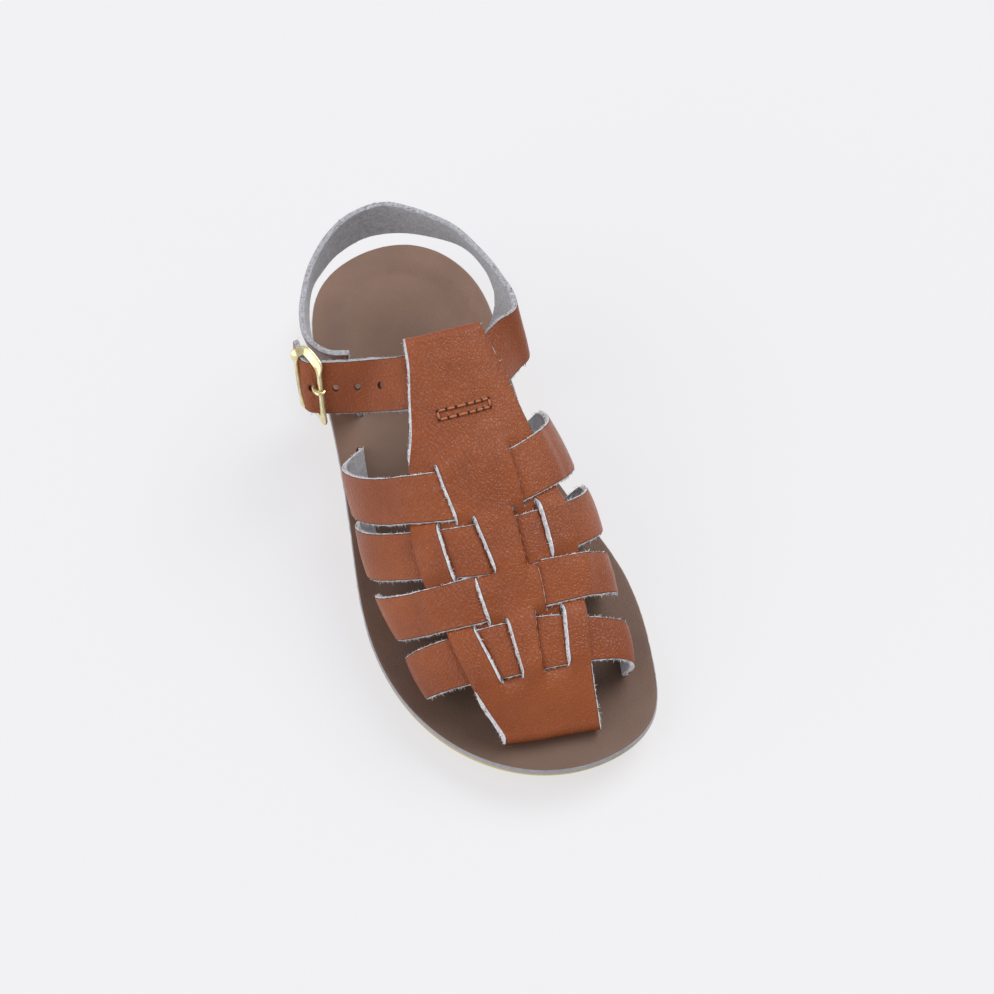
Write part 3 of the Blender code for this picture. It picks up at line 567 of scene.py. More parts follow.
# cut edge of the leather: distance out from the edge, height as a share of half the thickness, wander
EDGE = [(-0.50, 1.0, 0.0), (-0.24, 0.92, 0.04), (-0.10, 0.70, 0.10), (-0.01, 0.28, 0.17), (0.02, -0.35, 0.17), (-0.01, -0.82, 0.14), (-0.14, -1.0, 0.0)]
# the same where the cut stands up and shows its full width
OPEN_EDGE = [(-0.66, 1.0, 0.0), (-0.42, 0.94, 0.03), (-0.22, 0.74, 0.09), (-0.04, 0.30, 0.17), (0.02, -0.35, 0.17), (-0.01, -0.82, 0.14), (-0.14, -1.0, 0.0)]
# the same where the grain runs on round the edge, so that no cut shows from above
ROUND_EDGE = [(-0.50, 1.0, 0.0), (-0.12, 0.66, 0.0), (-0.03, 0.30, 0.02), (0.0, 0.0, 0.05), (0.0, -0.45, 0.06), (-0.02, -0.82, 0.05), (-0.14, -1.0, 0.0)]


def hair(start, way, bend, length, width):
    """One loose fibre, three sided and pointed."""
    u = unit(np.cross(way, (0.31, 0.52, 0.79)))
    v = np.cross(way, u)
    mid = start + way * length * 0.55 + bend * length * 0.16
    tip = start + way * length + bend * length * 0.5
    verts = []
    for c, r in ((start, width), (mid, width * 0.75)):
        for k in range(3):
            w = 2 * math.pi * k / 3
            verts.append(c + (u * math.cos(w) + v * math.sin(w)) * r)
    verts.append(tip)
    faces = [(k, (k + 1) % 3, 3 + (k + 1) % 3, 3 + k) for k in range(3)] + [(3 + k, 3 + (k + 1) % 3, 6) for k in range(3)]
    return verts, faces


def thicken(points, quads, thick=LEATHER, edge=EDGE, holes=(), covered=(), upright=(), fuzz=1.6):
    """Leather round a sheet of mid points: grain face 0, cut edge 1, split back 2, wall of a hole 3, painted shadow
    line along the grain's edge 4.
    """
    p = np.array(points, float)
    covered, upright = set(covered), set(upright)
    hole_at = np.array(holes, float).reshape(-1, 3)
    q = np.array(quads, int)
    fn = np.cross(p[q[:, 2]] - p[q[:, 0]], p[q[:, 3]] - p[q[:, 1]])
    n = np.zeros_like(p)
    for k in range(4):
        np.add.at(n, q[:, k], fn)
    n /= np.maximum(np.linalg.norm(n, axis=1, keepdims=True), 1e-12)
    seen = set()
    for f in quads:
        for k in range(4):
            seen.add((f[k], f[(k + 1) % 4]))
    border = [e for e in seen if (e[1], e[0]) not in seen]
    border.sort()
    out = {}
    for a, b in border:
        o = unit(np.cross(unit(p[b] - p[a]), n[a] + n[b]))
        out[a] = out.get(a, 0) + o
        out[b] = out.get(b, 0) + o
    h = thick / 2
    verts = [p[i] + n[i] * h for i in range(len(p))] + [p[i] - n[i] * h for i in range(len(p))]
    count = len(p)
    ring, at_hole, hairs = {}, set(), []
    dice = random.Random(len(points))
    for i, o in out.items():
        size = np.linalg.norm(o)
        o = o / size if size > 0.6 else o * 0.0
        if size > 0.6:
            o = o / clamp(size / 2 + 0.15, 0.75, 1.0)
        ids = []
        if len(hole_at) and np.min(np.linalg.norm(hole_at - p[i], axis=1)) < 1.6:
            at_hole.add(i)
            o = o * 0.35
        elif size > 0.6 and i not in covered:
            along = np.cross(n[i], o)
            for _ in range(int(fuzz) + (1 if dice.random() < fuzz - int(fuzz) else 0)):
                way = unit(o * dice.uniform(0.25, 1.0) + along * dice.uniform(-1.0, 1.0) + n[i] * dice.uniform(-0.7, 0.5))
                bend = np.array([dice.uniform(-1, 1), dice.uniform(-1, 1), dice.uniform(-1.2, 0.6)])
                start = p[i] + o * -0.08 + along * dice.uniform(-0.3, 0.3) + n[i] * h * dice.uniform(-0.8, 0.75)
                hairs.append(hair(start, way, bend, dice.uniform(0.3, 0.85) * (1.6 if dice.random() < 0.1 else 1.0), dice.uniform(0.06, 0.12)))
        for k, (dist, up, wander) in enumerate(ROUND_EDGE if i in covered else OPEN_EDGE if i in upright else edge):
            w = (wobble(p[i] + 31.0 * k, 0.9, 1.0) + wobble(p[i], 1.9, 0.7)) * wander * 1.8
            pos = p[i] + n[i] * (h * up) + o * (dist + w)
            if k == 0:
                verts[i] = pos
                ids.append(i)
            elif k == len(edge) - 1:
                verts[count + i] = pos
                ids.append(count + i)
            else:
                ids.append(len(verts))
                verts.append(pos)
        ring[i] = ids
    faces, mats = [], []
    for f in quads:
        faces.append(tuple(f))
        mats.append(0)
        faces.append(tuple(count + i for i in reversed(f)))
        mats.append(2)
    for a, b in border:
        ra, rb = ring[a], ring[b]
        for k in range(len(edge) - 1):
            faces.append((rb[k], ra[k], ra[k + 1], rb[k + 1]))
            if a in at_hole and b in at_hole:
                mats.append(0 if k < 2 else 3)
            else:
                hid = a in covered and b in covered
                # the first face out from the grain gets the painted edge shadow
                mats.append(0 if hid and k < 3 else 4 if k == 0 else 1)
    for hv, hf in hairs:
        base = len(verts)
        verts.extend(hv)
        faces.extend(tuple(base + i for i in f) for f in hf)
        mats.extend([0 if dice.random() < 0.22 else 1] * len(hf))
    return verts, faces, mats


def grid_quads(ids, used=None):
    quads = []
    for i in range(len(ids) - 1):
        for j in range(len(ids[0]) - 1):
            if used is None or used[i][j]:
                quads.append((ids[i][j], ids[i + 1][j], ids[i + 1][j + 1], ids[i][j + 1]))
    return quads


def compact(points, quads):
    """Drop points that no cell uses."""
    keep = sorted({i for f in quads for i in f})
    new = {k: i for i, k in enumerate(keep)}
    return [points[k] for k in keep], [tuple(new[i] for i in f) for f in quads]


def divide(marks, step):
    """Marks with even steps between them, none longer than step."""
    out = []
    for a, b in zip(marks, marks[1:]):
        n = max(1, int(math.ceil((b - a) / step)))
        out += [a + (b - a) * k / n for k in range(n)]
    return out + [marks[-1]]


def resample(path, step):
    """Even steps along a polyline given as rows of numbers; length is that of the first three columns."""
    p = np.array(path, float)
    seg = np.linalg.norm(np.diff(p[:, :3], axis=0), axis=1)
    s = np.concatenate([[0], np.cumsum(seg)])
    n = max(2, int(round(s[-1] / step)))
    t = np.linspace(0, s[-1], n + 1)
    return np.stack([np.interp(t, s, p[:, k]) for k in range(p.shape[1])], axis=1), t


def tube(path, radius, closed=False, sides=14, flat=None):
    """Round or oval wire along a path; radius may be a list. flat gives a direction and two half sizes a point."""
    p = np.array(path, float)
    n = len(p)
    rad = radius if isinstance(radius, (list, np.ndarray)) else [radius] * n
    verts, faces, up = [], [], None
    for i in range(n):
        t = unit(p[(i + 1) % n] - p[i - 1]) if closed else unit(p[min(i + 1, n - 1)] - p[max(i - 1, 0)])
        if flat is not None:
            face = unit(flat[i][0] - t * np.dot(flat[i][0], t))
            side = np.cross(t, face)
            for k in range(sides):
                w = 2 * math.pi * k / sides
                c, s = math.cos(w), math.sin(w)
                x = math.copysign(abs(c) ** 0.62, c) * flat[i][1]
                y = math.copysign(abs(s) ** 0.62, s) * flat[i][2]
                verts.append(p[i] + side * x + face * y)
            continue
        if up is None:
            up = unit(np.cross(t, (0.3, 0.2, 1.0)))
        up = unit(up - t * np.dot(up, t))
        side = np.cross(t, up)
        for k in range(sides):
            w = 2 * math.pi * k / sides
            verts.append(p[i] + (up * math.cos(w) + side * math.sin(w)) * rad[i])
    for i in range(n if closed else n - 1):
        for k in range(sides):
            faces.append((i * sides + k, i * sides + (k + 1) % sides,
                          ((i + 1) % n) * sides + (k + 1) % sides, ((i + 1) % n) * sides + k))
    if not closed:
        for end, flip in ((0, True), (n - 1, False)):
            t = unit(p[1] - p[0]) if end == 0 else unit(p[-1] - p[-2])
            tip = len(verts)
            verts.append(p[end] + t * (rad[end] * 0.5) * (-1 if end == 0 else 1))
            for k in range(sides):
                a, b = end * sides + k, end * sides + (k + 1) % sides
                faces.append((b, a, tip) if flip else (a, b, tip))
    v = np.array(verts)
    total = sum(np.dot(v[f[0]], np.cross(v[f[1]], v[f[2]])) + (np.dot(v[f[0]], np.cross(v[f[2]], v[f[3]])) if len(f) == 4 else 0) for f in faces)
    return verts, (faces if total > 0 else [tuple(reversed(f)) for f in faces])


# ------------------------------------------------------------------ woven plate
def plate_lines(q):
    e, s = plate_row(q), slit_row(q)
    return (e[0], e[1], s[0], e[2], e[3], s[1], e[4], e[5])


def slit_open(k, q):
    """How far slit k stands open at section q: 0 closed, 1 fully."""
    for lo, hi in OPEN_ROWS[k]:
        if lo < q < hi:
            return ease(min(q - lo, hi - q) / 0.11)
    return 0.0


def plate_rise(q, a, side=0):
    """Height of the plate's mid surface over the foot; side picks a lip where a lies on an open slit."""
    lines = plate_lines(q)
    h1, h2, h3, h4 = weave(q)
    strips = (h1, h2, h3, h4, h3, h2, h1)
    h = strips[0]
    for k in range(1, 7):
        rise = strips[k] - strips[k - 1]
        d = a - lines[k]
        step = ease((d + 2.2) / 4.4)
        opened = slit_open(k, q)
        if opened:
            after = d > 1e-6 or (abs(d) <= 1e-6 and side > 0)
            step += ((1.0 if after else 0.0) - step) * opened
            full = opened * min(abs(rise) / 1.5, 1.0)
            h += full * (0.48 * math.exp(-abs(d) / 1.7) if (rise > 0) == after else -0.5 * math.exp(-(d / 2.0) ** 2))
        h += rise * step
    # outer edges of the toe band and of the T stand up a little
    rim = max(1 - ease((q - 0.7) / 0.4), ease((q - 5.0) / 0.4))
    h += rim * (0.85 * math.exp(-abs(a - lines[0]) / 2.0) + 0.2 * math.exp(-((a - lines[7]) / 2.3) ** 2))
    # each strip that lies on top is a little fuller along its middle
    for k0, k1, hi in ((0, 1, h1), (3, 4, h4), (6, 7, h1)):
        if lines[k0] < a < lines[k1]:
            h += 0.3 * clamp((hi - 1.8) / 1.0, 0, 1) * math.sin(math.pi * (a - lines[k0]) / (lines[k1] - lines[k0]))
    return h


def toe_slant(q, a):
    """The folded toe end lies askew: its outer end sits further back."""
    return np.array([0.0, 3.2 * clamp((117.4 - a) / 54, 0, 1.1) * (1 - ease(q / 0.95)), 0.0])


def plate_mesh():
    marks = sorted({0.0, LOOP_TURN, *(v for w in WINDOW_ROWS for v in w), *(v for w in SLIT_ROWS for v in w)})
    qs = divide(marks, 0.04)
    counts = (12, 7, 8, 15, 8, 7, 12)

    def columns(q):
        lines = plate_lines(q)
        out = []
        for k, n in enumerate(counts):
            out += [lines[k] + (lines[k + 1] - lines[k]) * i / n for i in range(n)]
        return out + [lines[-1]]

    start = [int(v) for v in np.concatenate([[0], np.cumsum(counts)])]
    points, row_ids, hidden, upright = [], [], [], []

    def new(p):
        points.append(p + 0.0)
        return len(points) - 1

    # folded toe end: up out of its slot, forward and over
    first = [on_last(0.0, a, plate_rise(0.0, a)) + toe_slant(0.0, a) for a in columns(0.0)]
    second = [on_last(0.12, a, plate_rise(0.12, a)) + toe_slant(0.12, a) for a in columns(0.12)]
    base = footbed_z(first[len(first) // 2][1], 0.6)
    knots = ((3.0, -INSOLE_T + 0.1), (2.9, -0.4), (2.6, 0.6), (1.5, 1.75), (-0.3, 3.05))
    fold = []
    for c, (p, p2) in enumerate(zip(first, second)):
        path = [np.array([p[0], p[1] + dy, base + lift]) for dy, lift in knots] + [p, p2]
        curve = table_curve(numbered(path))
        fold.append([curve(v) for v in np.linspace(0, len(knots), 15)[:-1]])
    for r in range(14):
        row_ids.append([(new(f[r]),) * 2 for f in fold])
    for q in qs:
        ids = []
        split = {start[k] for k in OPEN_ROWS if any(lo + 1e-6 < q < hi - 1e-6 for lo, hi in OPEN_ROWS[k])}
        for j, a in enumerate(columns(q)):
            pair = []
            for side in ((-1, 1) if j in split else (0,)):
                p = on_last(q, a, plate_rise(q, a, side)) + toe_slant(q, a)
                pair.append(new(p + unit(p - np.array([0, p[1] + 10, -12])) * wobble(p, 11.0, 0.25)))
            ids.append((pair[0], pair[-1]))
            if j in split:
                if j in (start[4], start[5]):
                    hidden.append(pair[0])
                else:
                    upright.append(pair[0] if j == start[1] else pair[1])
        # the strips' outer edges, where they turn down over a band, show no cut
        if 1.0 < q < 5.1:
            hidden += [ids[0][0], ids[-1][0]]
        else:
            upright.append(ids[0][0])
        row_ids.append(ids)
    cols = columns(LOOP_TURN)
    for w in range(12, 181, 12):
        row = []
        for a in cols:
            n, t = last_normal(LOOP_TURN, a), unit(last(LOOP_TURN, a) - last(LOOP_TURN - 0.1, a))
            top = plate_rise(LOOP_TURN, a)
            r = (top - LOOP_MID) / 2
            c = last(LOOP_TURN, a) + n * (top + LOOP_MID) / 2
            k = new(c + n * r * math.cos(math.radians(w)) + t * r * math.sin(math.radians(w)))
            row.append((k, k))
        row_ids.append(row)
        upright.append(row[0][0])
    back = table_curve([(5.70, 0.10), (5.80, 0.08), (5.92, -0.05), (6.03, -0.6), (6.13, -1.6), (6.24, -2.0), (7.0, -2.0)])
    for q in np.arange(LOOP_TURN - 0.05, 5.69, -0.05):
        row = []
        for a in columns(q):
            k = new(on_last(q, a, float(back(q)[0])))
            row.append((k, k))
        row_ids.append(row)

    quads = []
    for i in range(len(row_ids) - 1):
        for j in range(len(row_ids[0]) - 1):
            a, b = row_ids[i][j][1], row_ids[i][j + 1][0]
            c, d = row_ids[i + 1][j][1], row_ids[i + 1][j + 1][0]
            quads.append((a, b, d, c))
    return points, quads, hidden, upright


def band_rise(name, q, a):
    """Height of a cross band's mid surface over the foot."""
    if a <= 0 or a >= 180:
        h = 0.82
    else:
        e = plate_lines(q)
        if name in ("band_1", "band_3"):
            over = ease((a - (e[0] - 13)) / 11) * ease((e[2] + 4.0 - a) / 8) if a < 90 else \
                ease(((e[7] + 13) - a) / 11) * ease((a - (e[5] - 4.0)) / 8)
            h = 0.80 + 1.68 * over
        else:
            under = ease((a - e[0] + 8) / 8) * ease((e[7] + 8 - a) / 8)
            over = ease((a - e[1] + 1.6) / 5) * ease((e[3] + 1.6 - a) / 5) if a < 90 else \
                ease((a - e[4] + 1.6) / 5) * ease((e[6] + 1.6 - a) / 5)
            h = 0.85 + 0.22 * under + 1.08 * over
    low = BULGE_MID - (0.8 if a > 90 and name in ("band_1", "band_3") else 0.0)
    return low + (h - low) * ease((min(a, 180 - a) - 5) / 45)


def slot_shift(name, a):
    """How far the rear and front edges of a band drift along the foot on the way down to its slot."""
    k = ease((-a if a < 0 else a - 180) / 45) if a < 0 or a > 180 else 0.0
    if a < 0:
        return (-0.20 * k, -0.02 * k) if name in ("band_3", "band_4") else (0.0, 0.0)
    return (0.0, 0.26 * k) if name == "band_3" else (0.0, 0.0)


def band_mesh(name):
    rear, front = BANDS[name]
    rear, front = (table_curve(list(zip(BAND_COLUMNS, v))) for v in (rear, front))
    angles = [-45 + 3 * i for i in range(15)] + divide([0, 20, 50, 130, 160, 180], 1.0)[:-1] + [180 + 3 * i for i in range(16)]
    n_across = 24
    points, ids = [], []
    end_rows = 5

    def line(a, z_share=None):
        c = clamp(a, 0, 180)
        r, f = float(rear(c)[0]), float(front(c)[0])
        dr, df = slot_shift(name, a)
        r, f = r + dr, f + df
        row = []
        for j in range(n_across + 1):
            q = f + (r - f) * j / n_across
            if z_share is None:
                h = band_rise(name, q, a)
                # near the slots the strip turns edge on to its slot
                p = on_last(q, a, h) if -41 < a < 221 else last(q, a) + np.array([-0.8 if a < 90 else 0.8, 0, 0])
                curl = (2 * j / n_across - 1)
                p = p + last_normal(q, clamp(a, -40, 220)) * (wobble(p, 9.0, 0.24) + 0.12 - 0.26 * curl ** 2)
            else:
                e = -45 if a < 90 else 225
                p = last(q, e) + np.array([-0.8 if a < 90 else 0.8, 0, 0])
                top = p[2]
                p = np.array([p[0], p[1], top + (footbed_z(p[1], 0.2) - INSOLE_T + 0.1 - top) * z_share])
            points.append(p)
            row.append(len(points) - 1)
        return row

    for k in range(end_rows, 0, -1):
        ids.append(line(-45, k / end_rows))
    for a in angles:
        ids.append(line(a))
    for k in range(1, end_rows + 1):
        ids.append(line(225, k / end_rows))
    # ease the turn into each slot
    p = np.array(points)
    grid = np.array(ids)
    for _ in range(6):
        g = p[grid]
        for lo, hi in ((end_rows - 2, end_rows + 8), (len(ids) - end_rows - 9, len(ids) - end_rows + 1)):
            g2 = g.copy()
            g2[lo:hi] = g[lo:hi] * 0.5 + (g[lo - 1:hi - 1] + g[lo + 1:hi + 1]) * 0.25
            g = g2
        p[grid] = g
    # and round off the bulges at both sides of the foot
    share_of = np.array([0.0] * end_rows + [ease((44 - min(abs(a), abs(180 - a))) / 12) for a in angles] + [0.0] * end_rows)
    share_of[:end_rows + 4] = share_of[-end_rows - 4:] = 0.0
    g = p[grid]
    for _ in range(48):
        mean = g.copy()
        mean[1:-1] = g[1:-1] * 0.5 + (g[:-2] + g[2:]) * 0.25
        g = g + (mean - g) * share_of[:, None, None]
    p[grid] = g
    quads = [(ids[i][j], ids[i + 1][j], ids[i + 1][j + 1], ids[i][j + 1]) for i in range(len(ids) - 1) for j in range(n_across)]
    return list(p), quads


def stitches():
    """Rectangle of thread that closes the loop, as bumps that dive into the leather at near black discs, painted
    shade that stands for punched holes.
    """
    m = Mesh()
    rows = ((6.06, 80.6, 102.6), (5.925, 80.6, 102.2))
    lines = []
    for q, a0, a1 in rows:
        lines.append([(q, a0 + (a1 - a0) * k / 6) for k in range(7)])
    ring = lines[0] + lines[1][::-1]
    pairs = list(zip(ring, ring[1:] + ring[:1]))
    for side in (1, -1):
        for (q0, a0), (q1, a1) in pairs:
            def at(t, h):
                q, a = q0 + (q1 - q0) * t, a0 + (a1 - a0) * t
                if side > 0:
                    return on_last(q, a, PLATE_MID + LEATHER / 2 + h)
                return on_last(q, a, -1.35 + (0.45 if q < 5.97 else 0.0) - h)
            path = [at(t, h) for t, h in ((0.12, -0.35), (0.19, 0.0), (0.33, 0.16), (0.5, 0.20), (0.67, 0.16), (0.81, 0.0), (0.88, -0.35))]
            m.add(*tube(path, [0.20, 0.26, 0.31, 0.33, 0.31, 0.26, 0.20], sides=8), 0)
        # a disc with the painted shade of a punched hole at each stitch
        for q, a in ring:
            c = on_last(q, a, PLATE_MID + LEATHER / 2 + 0.03) if side > 0 else on_last(q, a, -1.38 + (0.45 if q < 5.97 else 0.0))
            n = last_normal(q, a) * side
            u = unit(np.cross(n, (0, 1, 0)))
            v = np.cross(n, u)
            rim = [c + (u * math.cos(w) + v * math.sin(w)) * 0.52 for w in np.linspace(0, 2 * math.pi, 12, endpoint=False)]
            low = [c - n * 0.25 + (u * math.cos(w) + v * math.sin(w)) * 0.2 for w in np.linspace(0, 2 * math.pi, 12, endpoint=False)]
            faces = [(i, (i + 1) % 12, 12 + (i + 1) % 12, 12 + i) for i in range(12)] + [tuple(range(12, 24))]
            m.add(rim + low, faces, 1)
            m.add(rim, [tuple(range(12))], 1)
    return m


upper = Mesh()
plate_points, plate_quads, hidden_edge, open_edge = plate_mesh()
upper.add(*thicken(plate_points, plate_quads, covered=hidden_edge, upright=open_edge))
plate_piece = upper.make("woven_plate", [TAN, RAW, SPLIT, HOLE_WALL, EDGE_SHADE])
upper_pieces = [plate_piece]
for name in BANDS:
    m = Mesh()
    m.add(*thicken(*band_mesh(name)))
    upper_pieces.append(m.make("cross_" + name, [TAN, RAW, SPLIT, HOLE_WALL, EDGE_SHADE]))
upper_pieces.append(stitches().make("loop_stitching", [THREAD, HOLE_SHADE]))
for ob in upper_pieces:
    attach(ob, "root")
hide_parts("vamp")


# ------------------------------------------------------------------ ankle strap
def strap_stations():
    """Rows of outer face: top x, y, z, bottom x, y, z, leg number, leg foot x, y."""
    rows = []
    for s in np.arange(0, 13.001, 0.1):
        leg = [i for i, g in enumerate(LEGS) if g[0] - 1e-6 <= s <= g[1] + 1e-6]
        foot = (0.0, 0.0)
        if leg:
            s0, s1, x0, y0, x1, y1 = LEGS[leg[0]]
            k = (s - s0) / (s1 - s0)
            foot = (x0 + (x1 - x0) * k, y0 + (y1 - y0) * k)
        rows.append([*heel_row(s), leg[0] + 1 if leg else 0, *foot])
    for a in np.arange(113, 67.9, -1.5):
        top = on_last(LOOP_SECTIONS[0], a, STRAP_MID + LEATHER / 2)
        low = on_last(LOOP_SECTIONS[1], a + (a - 90) * 0.28, STRAP_MID + LEATHER / 2)
        rows.append([*top, *low, 0, 0, 0])
    for s in np.arange(0, 5.001, 0.1):
        rows.append([*front_row(s), 0, 0, 0])
    return np.array(rows)


HOLE_PITCH, HOLE_R = 6.55, 0.92


def strap_mesh():
    raw = strap_stations()
    mid_line = (raw[:, :3] + raw[:, 3:6]) / 2
    table, t = resample(np.concatenate([mid_line, raw], axis=1), CELL)
    rows = table[:, 3:]
    # take the small kinks out of the path
    for _ in range(9):
        rows[1:-1, :6] = rows[1:-1, :6] * 0.5 + (rows[:-2, :6] + rows[2:, :6]) * 0.25
    length = t[-1]
    n_across = 26
    leg_rows = 30
    # which columns carry a leg
    leg_of = [int(round(v)) if abs(v - round(v)) < 0.02 else 0 for v in rows[:, 6]]
    grid = np.zeros((len(rows), n_across + 1 + leg_rows, 3))
    for i, r in enumerate(rows):
        top, low = r[:3], r[3:6]
        for j in range(n_across + 1):
            grid[i, j] = top + (low - top) * j / n_across
        for k in range(1, leg_rows + 1):
            if leg_of[i]:
                w = k / leg_rows
                e = min(w / 0.84, 1.0)
                foot = np.array([r[7], r[8], footbed_z(r[8], 0.15)])
                p = low + (foot - low) * e
                bow = math.sin(math.pi * e) * 1.2
                p[0] = low[0] + (foot[0] - low[0]) * ease(e) + (-bow if low[0] < 0 else bow)
                p[2] = low[2] + (foot[2] - low[2]) * e - max(w - 0.84, 0) / 0.16 * (INSOLE_T - 0.1)
            else:
                p = low + (low - top) * 0.02 * k
            grid[i, n_across + k] = p
    # outward direction, from the outer face to the mid surface
    ring = grid[:, :n_across + 1]
    nrm = np.cross(np.gradient(ring, axis=0), np.gradient(ring, axis=1))
    nrm /= np.linalg.norm(nrm, axis=2, keepdims=True)
    centre = np.array([-5.0, 74.0, 38.0])
    probe = len(rows) // 4
    if np.dot(nrm[probe, 5], grid[probe, 5] - centre) < 0:
        nrm = -nrm
    # the strap bows out a little across its width, and its surface isn't quite even
    for i in range(len(rows)):
        for j in range(n_across + 1):
            c = 2 * j / n_across - 1
            grid[i, j] += nrm[i, j] * (-LEATHER / 2 + 0.22 * (1 - c * c) - 0.11 + wobble(grid[i, j], 9.0, 0.22))
        for k in range(1, leg_rows + 1):
            n = unit(np.array([nrm[i, -1][0], nrm[i, -1][1], 0]))
            grid[i, n_across + k] -= n * LEATHER / 2
    # soften the bend where a leg leaves the strap
    for _ in range(25):
        g = grid.copy()
        lo, hi = n_across - 3, n_across + 7
        for i in range(1, len(rows) - 1):
            if leg_of[i]:
                g[i, lo:hi] = grid[i, lo:hi] * 0.5 + (grid[i, lo - 1:hi - 1] + grid[i, lo + 1:hi + 1]) * 0.25
        grid = g
    used = np.zeros((len(rows) - 1, n_across + leg_rows), bool)
    used[:, :n_across] = True
    for i in range(len(rows) - 1):
        if leg_of[i] and leg_of[i] == leg_of[i + 1]:
            used[i, n_across:] = True
    # punched holes, counted back from the one nearest the loop
    mids = (rows[:, :3] + rows[:, 3:6]) / 2
    goal = np.array(front_row(-0.42)[:3] + front_row(-0.42)[3:]) / 2
    front_part = int(len(rows) * 0.55)
    first = front_part + int(np.argmin(np.linalg.norm(mids[front_part:] - goal, axis=1)))
    hole_at = []
    for k in range(6):
        i0 = first + int(round(HOLE_PITCH * k / CELL))
        j0 = n_across // 2
        if i0 + 5 >= len(rows):
            break
        c = grid[i0, j0].copy()
        hole_at.append(c)
        u = unit(grid[i0 + 1, j0] - grid[i0 - 1, j0])
        v = unit(grid[i0, j0 + 1] - grid[i0, j0 - 1])
        for di in range(-4, 5):
            for dj in range(-4, 5):
                ringno = max(abs(di), abs(dj))
                if ringno < 2 or ringno > 3:
                    continue
                p = grid[i0 + di, j0 + dj]
                w = math.atan2(np.dot(p - c, v), np.dot(p - c, u))
                n = np.cross(u, v)
                radius = HOLE_R if ringno == 2 else 1.55
                goal_p = c + (u * math.cos(w) * 0.92 + v * math.sin(w) * 1.08) * radius + n * np.dot(p - c, n)
                grid[i0 + di, j0 + dj] = goal_p if ringno == 2 else p * 0.4 + goal_p * 0.6
        used[i0 - 2:i0 + 2, j0 - 2:j0 + 2] = False
    # rounded tail end
    half = n_across / 2
    for i in range(len(rows)):
        left = length - t[i]
        if left < 6.0:
            pull = math.sqrt(max(1 - ((6.0 - left) / 6.4) ** 2, 0.0))
            mid_p = grid[i, n_across // 2].copy()
            for j in range(n_across + 1):
                grid[i, j] = mid_p + (grid[i, j] - mid_p) * (0.45 + 0.55 * pull)
    ids = np.arange(grid.shape[0] * grid.shape[1]).reshape(grid.shape[:2])
    quads = grid_quads(ids.tolist(), used)
    pts, quads = compact(list(grid.reshape(-1, 3)), quads)
    # grain to the outside
    p = np.array(pts)
    f = quads[len(quads) // 8]
    n = np.cross(p[f[2]] - p[f[0]], p[f[3]] - p[f[1]])
    if np.dot(n, p[f[0]] - centre) < 0:
        quads = [tuple(reversed(f)) for f in quads]
    return pts, quads, hole_at


m = Mesh()
strap_points, strap_quads, strap_holes = strap_mesh()
m.add(*thicken(strap_points, strap_quads, holes=strap_holes))
strap_piece = m.make("ankle_strap_leather", [TAN, STRAP_RAW, SPLIT, HOLE_WALL, EDGE_SHADE])
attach(strap_piece, "root")
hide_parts("ankle_strap")


# ------------------------------------------------------------------ buckle
def smooth_through(knots, count):
    curve = table_curve(numbered(knots))
    return [curve(k) for k in np.linspace(0, len(knots) - 1, count)]


fb, cb, rb = ([np.array(b[:3]), np.array(b[3:])] for b in (FRONT_BAR, CENTRE_BAR, REAR_BAR))


def buckle():
    f_dir, r_dir = unit(fb[1] - fb[0]), unit(rb[1] - rb[0])
    low_arm = [fb[1], fb[1] + f_dir * 0.45 + (cb[1] - fb[1]) * 0.12, cb[1], rb[1] + r_dir * 0.6 + (cb[1] - rb[1]) * 0.16, rb[1]]
    top_arm = [rb[0], rb[0] - r_dir * 0.6 + (cb[0] - rb[0]) * 0.16, cb[0], fb[0] - f_dir * 0.45 + (cb[0] - fb[0]) * 0.12, fb[0]]
    front = [fb[0] + (fb[1] - fb[0]) * k for k in (0.2, 0.4, 0.6, 0.8)]
    rear = [rb[1] + (rb[0] - rb[1]) * k for k in (0.2, 0.4, 0.6, 0.8)]
    path, arm = [], []
    for part, is_arm in ((front, 0), (smooth_through(low_arm, 33), 1), (rear, 0), (smooth_through(top_arm, 33), 1)):
        path += list(part)
        arm += [is_arm] * len(part)
    p = np.array(path)
    # even spacing, then a light smoothing so that bars run into arms without a corner
    p = np.concatenate([p, p[:1]])
    even, _ = resample(np.concatenate([p, np.array(arm + [arm[0]])[:, None]], axis=1), 0.45)
    even = even[:-1]
    for _ in range(2):
        even = even * 0.5 + (np.roll(even, 1, axis=0) + np.roll(even, -1, axis=0)) * 0.25
    weight = even[:, 3].copy()
    for _ in range(2):
        weight = weight * 0.5 + (np.roll(weight, 1) + np.roll(weight, -1)) * 0.25
    centre = np.array([-5.0, 60.0, 0.0])
    flat = []
    for q, w in zip(even[:, :3], weight):
        out = unit(np.array([q[0] - centre[0], (q[1] - centre[1]) * 0.35 - 6, 6.0]))
        # the upper arm lies flatter than the rest
        high = ease((q[2] - 41.0) / 5.0)
        out = unit(out * (1 - 0.75 * high * w) + np.array([-0.15, -0.48, 0.86]) * 0.75 * high * w)
        back_bar = (1 - w) * ease((-38.6 - q[0]) / 1.5)
        flat.append((out, 0.72 + 0.66 * w - 0.34 * back_bar, 0.72 - 0.18 * w - 0.22 * back_bar))
    m = Mesh()
    m.add(*tube(even[:, :3], 1.0, closed=True, sides=20, flat=flat), 0)
    m.add(*tube([cb[0] + (cb[1] - cb[0]) * k for k in np.linspace(0.02, 0.98, 12)], 0.75, sides=14), 0)
    ob = m.make("brass_buckle_frame", [BRASS], sharp=60)
    return ob


frame_piece = buckle()
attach(frame_piece, "root")
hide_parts("buckle_frame")

